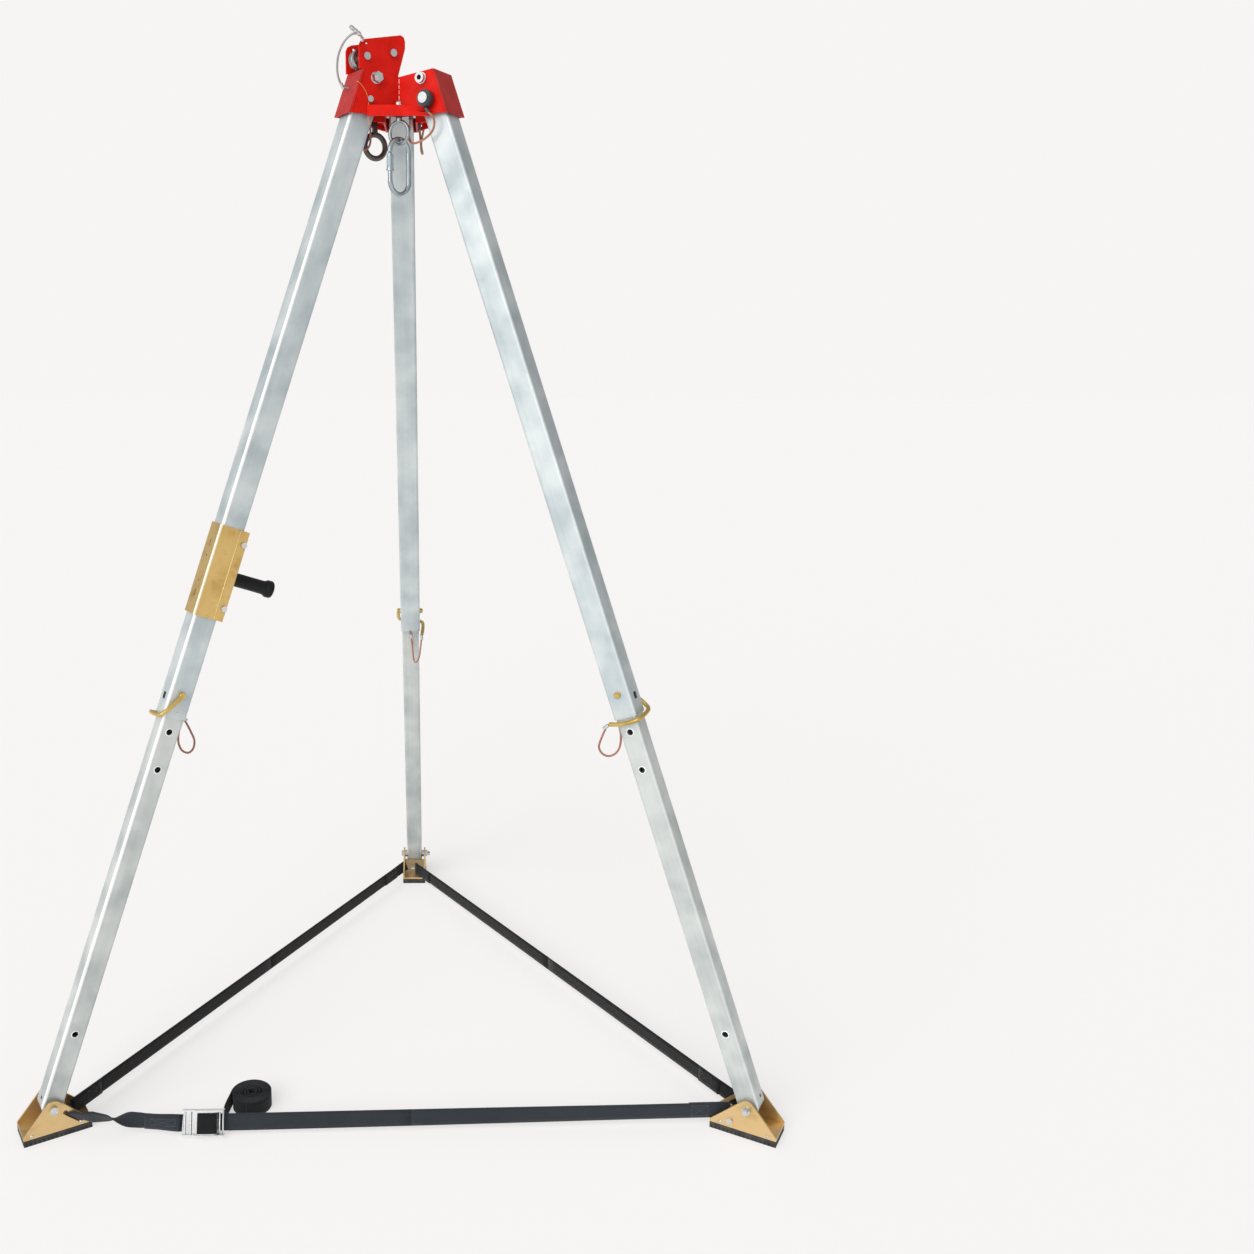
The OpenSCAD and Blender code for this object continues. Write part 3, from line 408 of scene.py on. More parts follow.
# Darker than the sole rubber: painted shade for the tread grooves.
tread_shade_black = moulding("tread_shade_black", srgb(14, 14, 15), srgb(40, 39, 38), 0.85, 420)
orange_wire = moulding("orange_wire", srgb(214, 128, 52), srgb(226, 152, 84), 0.4, 1400)
wire_rope = steel("wire_rope", srgb(196, 198, 198), 0.34, srgb(140, 142, 142))
print("mouldings:", [f.material.name for f in (black_plastic, knob_plastic, sole_rubber, cable_sleeve)])

# %% [markdown]
# The webbing is woven polyester, charcoal with a blue cast. Its weave follows the strap, so
# it reads the strap's own UV map, in metres: u runs along the strap and v across it. Chevrons
# come from folding v back on itself every few millimetres before adding it to u.

# %% Webbing
CHEVRON = 8.0
RIB = 2.2
SELVEDGE = 14.6


def webbing(name, thread, shade):
    cloth = Finish(name, thread, 0.82, 0.0, Sheen_Weight=0.1, Specular_IOR_Level=0.3)
    spot = cloth.node("ShaderNodeTexCoord", out="UV")
    along, across = (cloth.node("ShaderNodeSeparateXYZ", {}, {0: spot}, out) * 1000 for out in "XY")
    chevron = cloth.math("ABSOLUTE", across % CHEVRON - CHEVRON / 2)
    ridge = 1 - cloth.math("ABSOLUTE", (along + chevron) % RIB - RIB / 2) * (2 / RIB)
    selvedge = cloth.math("ABSOLUTE", across) > SELVEDGE
    fade = cloth.noise(cloth.here(), 14, 4)
    height = ridge * (1 - selvedge) + selvedge * 0.5
    # Colour: darker in the weave's hollows, which is painted shade, mixed with a random fade.
    cloth.set("Base Color", cloth.blend(height * 0.55 + fade * 0.45, shade, thread))
    cloth.set("Roughness", 0.9 - height * 0.14)
    cloth.bump(height, 0.0004, 0.8)
    return cloth


strap_webbing = webbing("strap_webbing", srgb(52, 58, 64), srgb(26, 29, 33))
rear_webbing = webbing("rear_webbing", srgb(24, 25, 27), srgb(9, 10, 11))
roll_webbing = webbing("roll_webbing", srgb(33, 36, 39), srgb(8, 9, 10))
thread = moulding("sewing_thread", srgb(78, 82, 88), srgb(104, 108, 114), 0.7, 1600)
print("cloths:", [f.material.name for f in (strap_webbing, rear_webbing, roll_webbing)])

# %% [markdown]
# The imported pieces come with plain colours. Each gets its finish here, by name.

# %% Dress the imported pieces
NODE = frame["nodes"]


def dress(finish, *names):
    for name in names:
        slots = NODE[name].data.materials
        if len(slots) == 0:
            slots.append(finish.material)
        for index in range(len(slots)):
            slots[index] = finish.material


dress(powder_coat, "head_plate_front", "head_plate_left", "head_plate_right", "pulley_plates")
dress(web_sheen_coat, "channel_webs")
dress(ring_steel, "eyebolt_front")
dress(bright_zinc, "pivot_fasteners", "eyebolt_nuts", "sheave_axles", "winch_bracket_bolts")
dress(bright_zinc, "handle_stud", "buckle_frame", "buckle_cam")
dress(forged_steel, "eyebolt_rear")
dress(carabiner_steel, "carabiner_body", "carabiner_gate", "carabiner_sleeve")
dress(black_plastic, "leg_spacers", "handle_grip")
dress(sheet_zinc, "winch_bracket", "winch_clamp_plate")
dress(wire_rope, "pulley_sheave_outer", "pulley_sheave_inner", "bracket_cable")
dress(cable_sleeve, "lock_lanyards")
dress(roll_webbing, "strap_roll")
dress(strap_webbing, "strap_front", "strap_front_end")
dress(rear_webbing, "straps_rear")
for side in SIDES:
    dress(UPPER_FINISH[side], "upper_tube_" + side)
    dress(LOWER_FINISH[side], "lower_tube_" + side)
    dress(bright_zinc, "lock_pin_" + side, "lock_button_" + side, "foot_bolts_" + side)
    dress(knob_plastic, "lock_knob_" + side)
    dress(cable_sleeve, "hitch_lanyard_" + side)
    dress(pin_zinc, "hitch_pin_" + side)
    dress(yellow_zinc, "foot_bracket_" + side)
    dress(sole_rubber, "foot_sole_" + side)
print("dressed", len(NODE), "packed pieces")

# %% [markdown]
# New pieces are bmesh shapes. Three helpers carry most of them: one turns a profile round an
# axis, one copies a shape to its place in a bigger one, and one makes the object, with
# smooth shading up to an angle, the body it rides on and the slot it is painted by. A fourth
# puts a list of shapes, each with its place, into one piece, which most small parts need.

# %% Making pieces
SHARP = math.radians(38)


def lathe(profile, steps=40, scale=1.0):
    shape = bmesh.new()
    points = [shape.verts.new((radius * scale, 0, height * scale)) for radius, height in profile]
    edges = [shape.edges.new(pair) for pair in zip(points, points[1:])]
    bmesh.ops.spin(
        shape,
        geom=points + edges,
        cent=(0, 0, 0),
        axis=UP,
        dvec=(0, 0, 0),
        angle=math.tau,
        steps=steps,
        use_merge=True,
    )
    bmesh.ops.remove_doubles(shape, verts=shape.verts[:], dist=1e-6)
    bmesh.ops.recalc_face_normals(shape, faces=shape.faces[:])
    return shape


def add_copy(whole, shape, place):
    part = bpy.data.meshes.new("part")
    shape.to_mesh(part)
    part.transform(place)
    whole.from_mesh(part)
    bpy.data.meshes.remove(part)


def finish_piece(name, shape, finish, body):
    data = bpy.data.meshes.new(name)
    shape.to_mesh(data)
    shape.free()
    data.polygons.foreach_set("use_smooth", [True] * len(data.polygons))
    data.set_sharp_from_angle(angle=SHARP)
    data.materials.append(finish.material)
    piece = in_scene(name, data)
    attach(piece, body)
    return piece


def assemble(name, copies, finish, body):
    whole = bmesh.new()
    for shape, place in copies:
        add_copy(whole, shape, place)
    return finish_piece(name, whole, finish, body)


def turned(angle, axis):
    return Matrix.Rotation(math.radians(angle), 4, axis)


def moved(x, y, z):
    return Matrix.Translation((x, y, z))


def on_face(place, x, y, z, face=1):
    return place @ moved(x, face * y, z) @ turned(-90 * face, "X")


print("a lathe of 3 points has", len(lathe([(0, 0), (1, 0), (0, 1)], 8).faces), "faces")

# %% [markdown]
# The cords are made next. Each is one smooth curve through a few chosen points, which are the
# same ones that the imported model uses, in millimetres. The lock pins hang on wire lanyards
# from the head's shelves, the hitch pins on short loops, and one loop ties the pulley bracket.

# %% Routes of the lanyards
MM = 0.001
CORD = 0.0045
ROPE = 0.004
LOCK_LANYARD = [
    (88, -46, -57.6), (93.7, -46.3, -66), (103.9, -43.9, -76), (104.6, -41.2, -89), (97.4, -40.7, -103),
    (77.8, -42.8, -116), (56.9, -44.5, -120), (47.3, -42, -108), (47.5, -39.6, -85), (48.8, -38, -61.4),
]
HITCH_AT = 1275
HITCH_LANYARD = [
    (-36, -30.5, -54.5), (-42, -30.5, -57.5), (-51, -29, -66), (-64, -27, -80), (-76, -24, -96),
    (-76, -18, -112), (-66, -12, -121), (-50, -8, -118), (-37, -6, -104), (-30, -4, -84),
    (-28.4, -2, -66), (-28.4, 0, -48.4),
]
BRACKET_CABLE = [
    (98, 33, 64), (104, 40, 70), (112, 42, 74), (124, 36, 72), (134, 24, 60), (140, 10, 38), (138, 0, 12),
    (131, -4, -6), (122, -3, -14), (114, 0, -16.5),
]


def route(place, points, steps=4, drop=0.0):
    knots = [place @ (Vector(p) * MM - Vector((0, 0, drop * MM))) for p in points]
    line = []
    for i, (b, c) in enumerate(zip(knots, knots[1:])):
        a = knots[max(i - 1, 0)]
        d = knots[min(i + 2, len(knots) - 1)]
        for t in (n / steps for n in range(steps)):
            bend = (a * 2 - b * 5 + c * 4 - d) * t**2 + (b * 3 - a - c * 3 + d) * t**3
            line.append((b * 2 + (c - a) * t + bend) / 2)
    return line + [knots[-1]]


def length_of(line):
    return sum((b - a).length for a, b in zip(line, line[1:]))


def rod(name, line, diameter, finish, body):
    curve = bpy.data.curves.new(name, "CURVE")
    curve.dimensions = "3D"
    curve.bevel_depth = diameter / 2
    curve.bevel_resolution = 4
    curve.use_fill_caps = True
    spline = curve.splines.new("POLY")
    spline.points.add(len(line) - 1)
    for point, place in zip(spline.points, line):
        point.co = (*place, 1)
    spline.use_smooth = True
    curve.materials.append(finish.material)
    piece = in_scene(name, curve)
    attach(piece, body)
    return piece


def lanyard(name, line, diameter, finish, body, node=None):
    piece = rod(name, line, diameter, finish, body)
    length_of(line)
    if node:
        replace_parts(piece, node)
    print(name, "is", round(length_of(line), 3), "m long")
    return line


LOCK_LINE = {side: route(HEAD[side], LOCK_LANYARD) for side in SIDES}
HITCH_LINE = {side: route(LEG[side], HITCH_LANYARD, 3, HITCH_AT) for side in SIDES}
CABLE_LINE = route(HEAD["left"], BRACKET_CABLE)
for side, node in zip(SIDES, ("lock_lanyards", None, None)):
    lanyard("lock_lanyard_" + side, LOCK_LINE[side], CORD, cable_sleeve, "head", node)
for side in SIDES:
    name = "hitch_lanyard_loop_" + side
    lanyard(name, HITCH_LINE[side], CORD, cable_sleeve, "leg_" + side, "hitch_lanyard_" + side)
lanyard("bracket_cable_loop", CABLE_LINE, ROPE, wire_rope, "head", "bracket_cable")

# %% [markdown]
# A strap is a flat band that runs through a list of sections, each with its middle, its
# upward direction and its width. A band knows the place at any distance along it, so the
# stitches are laid with the same object. Its mesh is a grid whose rows follow the band,
# with the distances kept as UVs, and Solidify gives it the webbing's thickness.

# %% Bands
STRAP_T = 0.0025
STRAP_W = 0.033
SLIT_W = 0.028
SLIT_ANGLE = math.radians(43)
SLIT_SPOT = Vector((-0.037, 0.031, 0.038))
TIE_SPOT = Vector((-0.041, -0.005, 0.035))
PLY_STEP = 0.0026


class Band:
    def __init__(self, sections):
        self.sections = [(Vector(m), Vector(up), width) for m, up, width in sections]
        self.at = [0.0]
        for (a, _, _), (b, _, _) in zip(self.sections, self.sections[1:]):
            self.at.append(self.at[-1] + (b - a).length)
        self.length = self.at[-1]

    def place(self, distance):
        i = max(0, min(len(self.at) - 2, sum(d <= distance for d in self.at) - 1))
        share = (distance - self.at[i]) / (self.at[i + 1] - self.at[i])
        first, second = (self.sections[k][0] for k in (i, i + 1))
        before = self.sections[max(i - 1, 0)][0]
        after = self.sections[min(i + 2, len(self.at) - 1)][0]
        way = (second - before).normalized().lerp((after - first).normalized(), share).normalized()
        up = self.sections[i][1].lerp(self.sections[i + 1][1], share)
        up = (up - way * up.dot(way)).normalized()
        width = self.sections[i][2] * (1 - share) + self.sections[i + 1][2] * share
        return frame_from(way, up, way.cross(up), first.lerp(second, share)), width

    def spot(self, distance):
        return self.place(distance)[0].translation

    def way(self, distance):
        return self.place(distance)[0].col[0].xyz

    def cloth(self, name, start, end, step, finish, body, thickness=STRAP_T, lift=0.0):
        columns = max(2, round((end - start) / step))
        shape = bmesh.new()
        bmesh.ops.create_grid(shape, x_segments=columns, y_segments=4, size=1)
        uv = shape.loops.layers.uv.new("UVMap")
        for vertex in shape.verts:
            distance = start + (vertex.co.x + 1) / 2 * (end - start)
            here, width = self.place(distance)
            spot = (distance, vertex.co.y * width / 2)
            for loop in vertex.link_loops:
                loop[uv].uv = spot
            vertex.co = here @ Vector((0, spot[1], lift))
        piece = finish_piece(name, shape, finish, body)
        wall = piece.modifiers.new("webbing thickness", "SOLIDIFY")
        wall.thickness = thickness
        wall.offset = 0
        return piece


STRAP_START = {side: FOOT[side] @ TIE_SPOT for side in SIDES}
SLIT = {side: FOOT[side] @ SLIT_SPOT for side in SIDES}
SLIT_LINE = {}
for side in SIDES:
    SLIT_LINE[side] = FOOT[side].to_3x3() @ Vector((math.cos(SLIT_ANGLE), 0, math.sin(SLIT_ANGLE)))


def slit_end(start, side):
    way = (SLIT[side] - start).normalized()
    line = SLIT_LINE[side]
    turns = [(-0.060, UP, STRAP_W), (-0.040, UP.lerp(line, 0.5), 0.030)]
    turns += [(-0.020, line, SLIT_W), (0.012, line, SLIT_W)]
    return [(SLIT[side] + way * distance, up, width) for distance, up, width in turns]


print("slits are", round(SLIT["left"].z, 3), "m up")

# %% [markdown]
# The feet draw together as the legs fold, and real straps go slack then. Here each rear strap
# is only cut into two halves, each riding on one leg's shank.

# %% Rear straps
STRAP_STEP = 0.03


def pull_in(piece, side, band, tied):
    way = band.way(band.length / 2)
    "fold_" + side
    band.spot(tied)
    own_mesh(piece)
    return piece


def rear_half(name, band, start, end, side, tied):
    half = band.cloth(name, start, end, STRAP_STEP, rear_webbing, "shank_" + side)
    return pull_in(half, side, band, tied)


REAR = {}
for first, second in (("left", "rear"), ("rear", "right")):
    REAR[first, second] = Band([(STRAP_START[first], UP, STRAP_W)] + slit_end(STRAP_START[first], second))
rear_halves = []
for (first, second), band in REAR.items():
    name = "strap_" + first + "_" + second
    end = band.length
    rear_halves.append(rear_half(name + "_near", band, 0.0, end / 2, first, 0.0))
    rear_halves.append(rear_half(name + "_far", band, end / 2, end, second, end))
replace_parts(rear_halves[0], "straps_rear")
print("straps are tied", round((STRAP_START["rear"].xy - AXIS.xy).length, 3), "m from the axis")

# %% [markdown]
# The front strap starts in the right foot, runs to the cam buckle and through it, and a
# doubled end ties the buckle to the left foot. The buckle leans back, so the strap turns
# from upright to that lean just before it. The doubled end has half a twist on its way to
# the foot, so its up vector turns by 180 degrees over 90 mm.

# %% Front strap
BUCKLE_SPOT = (-0.404, -0.433, 0.028)
BUCKLE_LEAN = math.radians(25)
BUCKLE_TURN = 0.6
BUCKLE_HALF = 0.043
BUCKLE_MIDDLE = -0.010
BUCKLE_UP = Vector((0, math.sin(BUCKLE_LEAN), math.cos(BUCKLE_LEAN)))
STRAP_SIDE = 0.0065
STRAP_TURN = 0.040
FRONT_CUT = 0.66
TWIST_STEP = 0.006
TWIST = [(0.050, 0), (0.078, 0), (0.094, 20), (0.108, 46), (0.120, 74)]
TWIST += [(0.129, 96), (0.140, 120), (0.152, 145)]
TWIST_END = 0.160
TWIST_NARROWS = 0.003

buckle_at = Vector((AXIS.x, AXIS.y, 0)) + Vector(BUCKLE_SPOT)
start = STRAP_START["right"]
to_right = start - buckle_at
BUCKLE = moved(*buckle_at) @ Matrix.Rotation(math.atan2(to_right.y, to_right.x) * BUCKLE_TURN, 4, "Z")
BUCKLE = BUCKLE @ Matrix.Rotation(-BUCKLE_LEAN, 4, "X")


def in_buckle(x, y):
    return BUCKLE @ Vector((x, y, 0))


entry = in_buckle(BUCKLE_HALF + STRAP_TURN, STRAP_SIDE)
front_line = [(start, UP), (start.lerp(entry, 0.2), UP), (entry, BUCKLE_UP)]
front_line += [(in_buckle(x, STRAP_SIDE), BUCKLE_UP) for x in (BUCKLE_HALF, BUCKLE_MIDDLE)]
front = Band([(middle, up, STRAP_W) for middle, up in front_line])
front_far = front.cloth("strap_front_far", 0.0, FRONT_CUT, STRAP_STEP, strap_webbing, "shank_right")
front_near = front.cloth("strap_front_near", FRONT_CUT, front.length, STRAP_STEP, strap_webbing, "buckle")
front_way = front.way(FRONT_CUT)
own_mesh(front_far)
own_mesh(front_near)
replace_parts(front_far, "strap_front")

tied = in_buckle(-BUCKLE_HALF + 0.001, 0)
slit_way = (SLIT["left"] - tied).normalized()
twist = [(tied, BUCKLE_UP, STRAP_W)]
for distance, turn in TWIST:
    across = Matrix.Rotation(math.radians(turn), 3, slit_way) @ UP
    twist.append((tied + slit_way * distance, across, STRAP_W - TWIST_NARROWS * (turn > 0)))
last = [(middle, -up, width) for middle, up, width in slit_end(tied, "left")[1:]]
end_band = Band(twist + [section for section in last if (section[0] - tied).length > TWIST_END])
front_end = end_band.cloth(
    "strap_front_end_sewn", 0.0, end_band.length, TWIST_STEP, strap_webbing, "shank_left"
)
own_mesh(front_end)
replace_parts(front_end, "strap_front_end")
print("front strap", round(front.length, 3), "m; its sewn end", round(end_band.length, 3), "m")

# %% [markdown]
# The strap's free end is about 1.5 m long and is wound into a roll that stands on the floor
# behind the buckle. The roll is a spiral band: its outer turns lie 3.5 mm apart, and the inner
# ones have sprung open round an eye.

# %% Rolled strap end
ROLL = Vector((AXIS.x - 0.320, AXIS.y - 0.334, STRAP_W / 2))
ROLL_T = 0.0022
ROLL_OUTER = 0.0425
ROLL_PITCH = 0.0035
ROLL_LOOSE = 0.0062
TIGHT_TURNS = 5.5
ROLL_TURNS = 8
ROLL_STEPS = 36
TAIL_STEP = 0.005
WOUND_STEP = 0.0035
DECLARED_TURN = 0.8
TAIL = [(-350, -419.5), (-358, -415.5), (-365, -404), (-368, -386), (-366, -360)]

roll_line = route(moved(AXIS.x, AXIS.y, STRAP_W / 2), [(x, y, 0) for x, y in TAIL])
tail_points = len(roll_line) - 1
for n in range(ROLL_TURNS * ROLL_STEPS + 1):
    turns = n / ROLL_STEPS
    loose = max(0, turns - TIGHT_TURNS)
    radius = ROLL_OUTER - ROLL_PITCH * min(turns, TIGHT_TURNS) - ROLL_LOOSE * loose
    angle = math.pi - turns * math.tau
    roll_line.append(ROLL + Vector((math.cos(angle), math.sin(angle), 0)) * radius)
del roll_line[tail_points]
roll_band = Band([(p, UP, STRAP_W) for p in roll_line])
outer_turn = roll_band.at[tail_points + int(ROLL_STEPS * DECLARED_TURN)]
tail = roll_band.cloth("strap_free_end", 0.0, outer_turn, TAIL_STEP, roll_webbing, "buckle", ROLL_T)
wound = roll_band.cloth(
    "strap_roll_wound", outer_turn, roll_band.length, WOUND_STEP, roll_webbing, "buckle", ROLL_T
)
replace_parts(wound, "strap_roll")
tail_line = [p for p, d in zip(roll_line, roll_band.at) if d <= outer_turn + 1e-6]
length_of(tail_line)
print("free end", round(roll_band.length, 2), "m, of which declared", round(length_of(tail_line), 3))

# %% [markdown]
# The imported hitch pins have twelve-sided bows. Each is modelled again as a round rod on the same
# curve, because a bow that reads as smooth wire sells the whole pin. The shank is turned on
# the lathe, with a chamfered point and a collar where the bow is pressed in.

# %% Hitch pins
BOW_D = 0.009
BOW = [
    (0, 30.5, 0), (6, 32.5, -12), (24.5, 32.5, -38), (32.5, 24.5, -49), (36.5, 0, -52),
    (32.5, -24.5, -55), (23.5, -32.5, -57), (-10, -32.5, -58), (-34, -30.5, -54),
]
SHANK = [(0, -33), (4.2, -33), (6.4, -30.6), (6.4, 28), (6.1, 28.4)]
SHANK += [(6.4, 28.8), (6.4, 33.9), (5.8, 34.5), (0, 34.5)]
for side in SIDES:
    pin = "hitch_pin_" + side
    shank = [(lathe(SHANK, scale=MM), on_face(LEG[side], 0, 0, -HITCH_AT * MM))]
    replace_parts(assemble("hitch_pin_shank_" + side, shank, pin_zinc, pin), pin)
    line = route(LEG[side], BOW, 8, HITCH_AT)
    rod("hitch_pin_bow_" + side, line, BOW_D, pin_zinc, pin)
print("bow is", round(length_of(line), 3), "m of rod")

# %% [markdown]
# Wire lanyards end in crimped sleeves. A sleeve is a short turned piece with two pressed
# necks, set on the cord at a distance from one end and turned along it.

# %% Crimped sleeves
NECKS = [(0.0, 0.0), (0.8, 0.0), (1.0, 0.08), (1.0, 0.24), (0.8, 0.32), (1.0, 0.4), (1.0, 0.6)]
NECKS += [(0.8, 0.68), (1.0, 0.76), (1.0, 0.92), (0.8, 1.0), (0.0, 1.0)]


def sleeve(line, distance, length, radius):
    if distance < 0:
        distance += length_of(line)
    walked = 0.0
    for a, b in zip(line, line[1:]):
        if walked + (b - a).length >= distance:
            break
        walked += (b - a).length
    way = (b - a).normalized()
    place = way.to_track_quat("Z", "Y").to_matrix().to_4x4()
    place.translation = a + way * (distance - walked)
    return lathe([(r * radius, z * length) for r, z in NECKS], 20), place


crimps = []
for line in LOCK_LINE.values():
    crimps += [sleeve(line, 0.0, 0.011, 0.0036), sleeve(line, -0.014, 0.012, 0.0034)]
assemble("lock_lanyard_crimps", crimps, ferrule_grey, "head")
for side, line in HITCH_LINE.items():
    crimps = [sleeve(line, 0.001, 0.014, 0.0038), sleeve(line, -0.020, 0.012, 0.0034)]
    assemble("hitch_lanyard_crimps_" + side, crimps, bright_zinc, "leg_" + side)
crimps = [sleeve(CABLE_LINE, 0.001, 0.007, 0.0034), sleeve(CABLE_LINE, 0.016, 0.026, 0.0042)]
crimps.append(sleeve(CABLE_LINE, -0.018, 0.012, 0.0034))
assemble("bracket_cable_crimps", crimps, bright_zinc, "head")
print("sleeves sit on", 2 * len(SIDES) + 1, "lanyards")

# %% [markdown]
# Threads and sockets turn plain cylinders into bolts. A thread is a turned zigzag, close
# enough to a helix at this size. A socket is a six-sided inlay on the bolt's head, dark with
# painted shade for the recess it stands for.

# %% Bolt ends and sockets
BOLT_RADIUS = 0.00604
THREAD_DEPTH = 0.0004
THREAD_PITCH = 0.00125
PIVOT_HEAD = 0.0450
PIVOT_END = 0.0491
FOOT_BOLT = 0.065
FOOT_HEAD = 0.0390
FOOT_NUT = 0.0392
HEAD_MARK = [(0.006, -0.0002), (0.0064, 0.0004), (0.0068, -0.0002), (0.006, -0.0002)]


def ridged(radius, depth, pitch, length, steps=28):
    count = max(1, round(length / pitch))
    profile = [(0, 0)]
    for n in range(count):
        profile += [(radius - depth, n * pitch), (radius, (n + 0.5) * pitch)]
    profile += [(radius - depth, count * pitch), (0, count * pitch)]
    return lathe(profile, steps)


def bolt_thread(length):
    return ridged(BOLT_RADIUS, THREAD_DEPTH, THREAD_PITCH, length)


def inlay(radius, depth, sides=6):
    shape = bmesh.new()
    bmesh.ops.create_cone(shape, cap_ends=True, segments=sides, radius1=radius, radius2=radius, depth=depth)
    return shape


threads = [(bolt_thread(0.005), on_face(LEG[side], 0, PIVOT_END, 0)) for side in SIDES]
# The socket inlays are painted shade for the recesses.
sockets = [(inlay(0.0052, 0.0004), on_face(LEG[side], 0, PIVOT_HEAD, 0, -1)) for side in SIDES]
assemble("pivot_bolt_threads", threads, bright_zinc, "head")
assemble("pivot_bolt_sockets", sockets, socket_shade_steel, "head")
for side in SIDES:
    mark = [(lathe(HEAD_MARK), on_face(FOOT[side], 0, FOOT_HEAD, FOOT_BOLT))]
    threads = [(bolt_thread(0.0075), on_face(FOOT[side], 0, FOOT_NUT, FOOT_BOLT, -1))]
    assemble("foot_bolt_mark_" + side, mark, bright_zinc, "foot_" + side)
    assemble("foot_bolt_thread_" + side, threads, bright_zinc, "foot_" + side)
print("sockets and threads on", 2 * len(SIDES), "bolts")

# %% [markdown]
# The lock knobs are moulded with grip ribs, and each button carries a turned ring. The ribs
# are short rods round the knob; one knob's rods are made once and copied round.

# %% Knob ribs and button rings
RIBS = 18
KNOB_RIB = [(0, 0), (0.7, 0), (1.3, 0.8), (1.3, 12.2), (0.7, 13), (0, 13)]
RING = [(6.8, -0.2), (6.8, 0.2), (7.2, 0.3), (7.6, 0.2), (7.6, -0.2), (6.8, -0.2)]
LOCK_AT = -0.043
KNOB_RADIUS = 0.0148
KNOB_FACE = 0.0392
BUTTON_FACE = 0.058
rib = lathe(KNOB_RIB, 12, MM)
ring = lathe(RING, scale=MM)
for side in SIDES:
    place = LEG[side] @ moved(0, 0, LOCK_AT)
    around = [place @ turned(360 / RIBS * n, "Y") for n in range(RIBS)]
    ribs = [(rib, on_face(spot, KNOB_RADIUS, KNOB_FACE, 0, -1)) for spot in around]
    assemble("lock_knob_ribs_" + side, ribs, knob_plastic, "lock_pin_" + side)
    rings = [(ring, on_face(place, 0, BUTTON_FACE, 0, -1))]
    assemble("lock_button_ring_" + side, rings, bright_zinc, "lock_button_" + side)
print("ribs on each knob:", RIBS)

# %% [markdown]
# Drilling leaves a bright edge round each hole in the lower tubes. A thin turned ring lies
# round the holes on both faces. A soft black stop is set in the outer face of each upper tube,
# and a small drain hole shows dark near the foot, so a thin black disc stands for it.

# %% Hole rims and stops
HOLES = (-1.355, -1.435, -2.003)
RIM = [(0.00655, -0.0001), (0.0082, -0.0001), (0.0078, 0.0002), (0.0066, 0.0004), (0.00655, -0.0001)]
DRAIN_RADIUS = 0.0036
DRAIN_AT = -2.150
STOP = (0.0012, 0.011, 0.014)
STOP_AT = -1.2865


def block(*size):
    shape = bmesh.new()
    bmesh.ops.create_cube(shape, size=1)
    shape.transform(Matrix.Diagonal((*size, 1)))
    return shape


rim = lathe(RIM)
for side in SIDES:
    leg = LEG[side]
    rims = [(rim, on_face(leg, 0, LOWER_HALF, z, face)) for z in HOLES for face in (-1, 1)]
    assemble("hole_rims_" + side, rims, rim_metal, "shank_" + side)
    # The black disc is painted shade for the drain hole's dark inside.
    drain = inlay(DRAIN_RADIUS, 0.0004, 24)
    drain = [(drain, leg @ moved(LOWER_HALF, 0.004, DRAIN_AT) @ turned(90, "Y"))]
    assemble("drain_hole_" + side, drain, black_plastic, "shank_" + side)
    stop = block(*STOP)
    bmesh.ops.bevel(
        stop, geom=stop.edges[:], offset=0.0004, affect="EDGES", segments=2, profile=0.5, material=-1
    )
    stop = [(stop, leg @ moved(UPPER_HALF + 0.0002, 0, STOP_AT))]
    assemble("tube_stop_" + side, stop, black_plastic, "leg_" + side)
print("rims round", len(HOLES) * 2, "holes on each leg")

# %% [markdown]
# The head is welded, and welds show under paint as rows of low ripples. A bead is a flattened
# ball and a weld is a row of them, close enough to merge. Each follows a straight seam.

# %% Welds
BEAD_PITCH = 0.0016
CHEEK_BEAD = (0.0018, 0.0007)
CORNER_BEAD = (0.0022, 0.0012)
SHELF_BEAD = (0.0016, 0.0012)
DASH_BEAD = (0.0007, 0.0003)
HIGHLIGHT_DASHES = ((-0.004, 0.002), (-0.014, -0.009), (-0.023, -0.019), (-0.034, -0.029))
WELD_TOP = 0.004
SHELF_UNDER = -0.0568


def weld(whole, place, seam, bead_size, out):
    start, end = (place @ Vector(spot) for spot in seam)
    radius, proud = bead_size
    out = place.to_3x3() @ Vector(out)
    way = end - start
    along = way.normalized()
    out = (out - along * out.dot(along)).normalized()
    count = max(2, round(way.length / BEAD_PITCH))
    bead = bmesh.new()
    bmesh.ops.create_icosphere(bead, subdivisions=2, radius=1)
    bead.transform(Matrix.Diagonal((radius, proud, BEAD_PITCH * 0.9, 1)))
    for n in range(count + 1):
        add_copy(whole, bead, frame_from(along.cross(out), out, along, start + way * (n / count)))
    bead.free()


welds = bmesh.new()
for side in SIDES:
    for face in (-1, 1):
        seam = [(0.0272, face * 0.035, z) for z in (-0.079, WELD_TOP)]
        weld(welds, LEG[side], seam, CHEEK_BEAD, (0, face, 0))
for number in range(3):
    corner = Matrix.Translation(AXIS) @ turned(-120 * number, "Z")
    seam = [(0, -0.0402, z) for z in (-0.055, WELD_TOP)]
    weld(welds, corner, seam, CORNER_BEAD, (0, -1, 0))
    for reach in (-1, 1):
        seam = [(reach * x, y, SHELF_UNDER) for x, y in ((0.004, -0.0425), (0.0565, -0.0728))]
        weld(welds, corner, seam, SHELF_BEAD, (0, 0, 1))
finish_piece("head_welds", welds, powder_coat, "head")

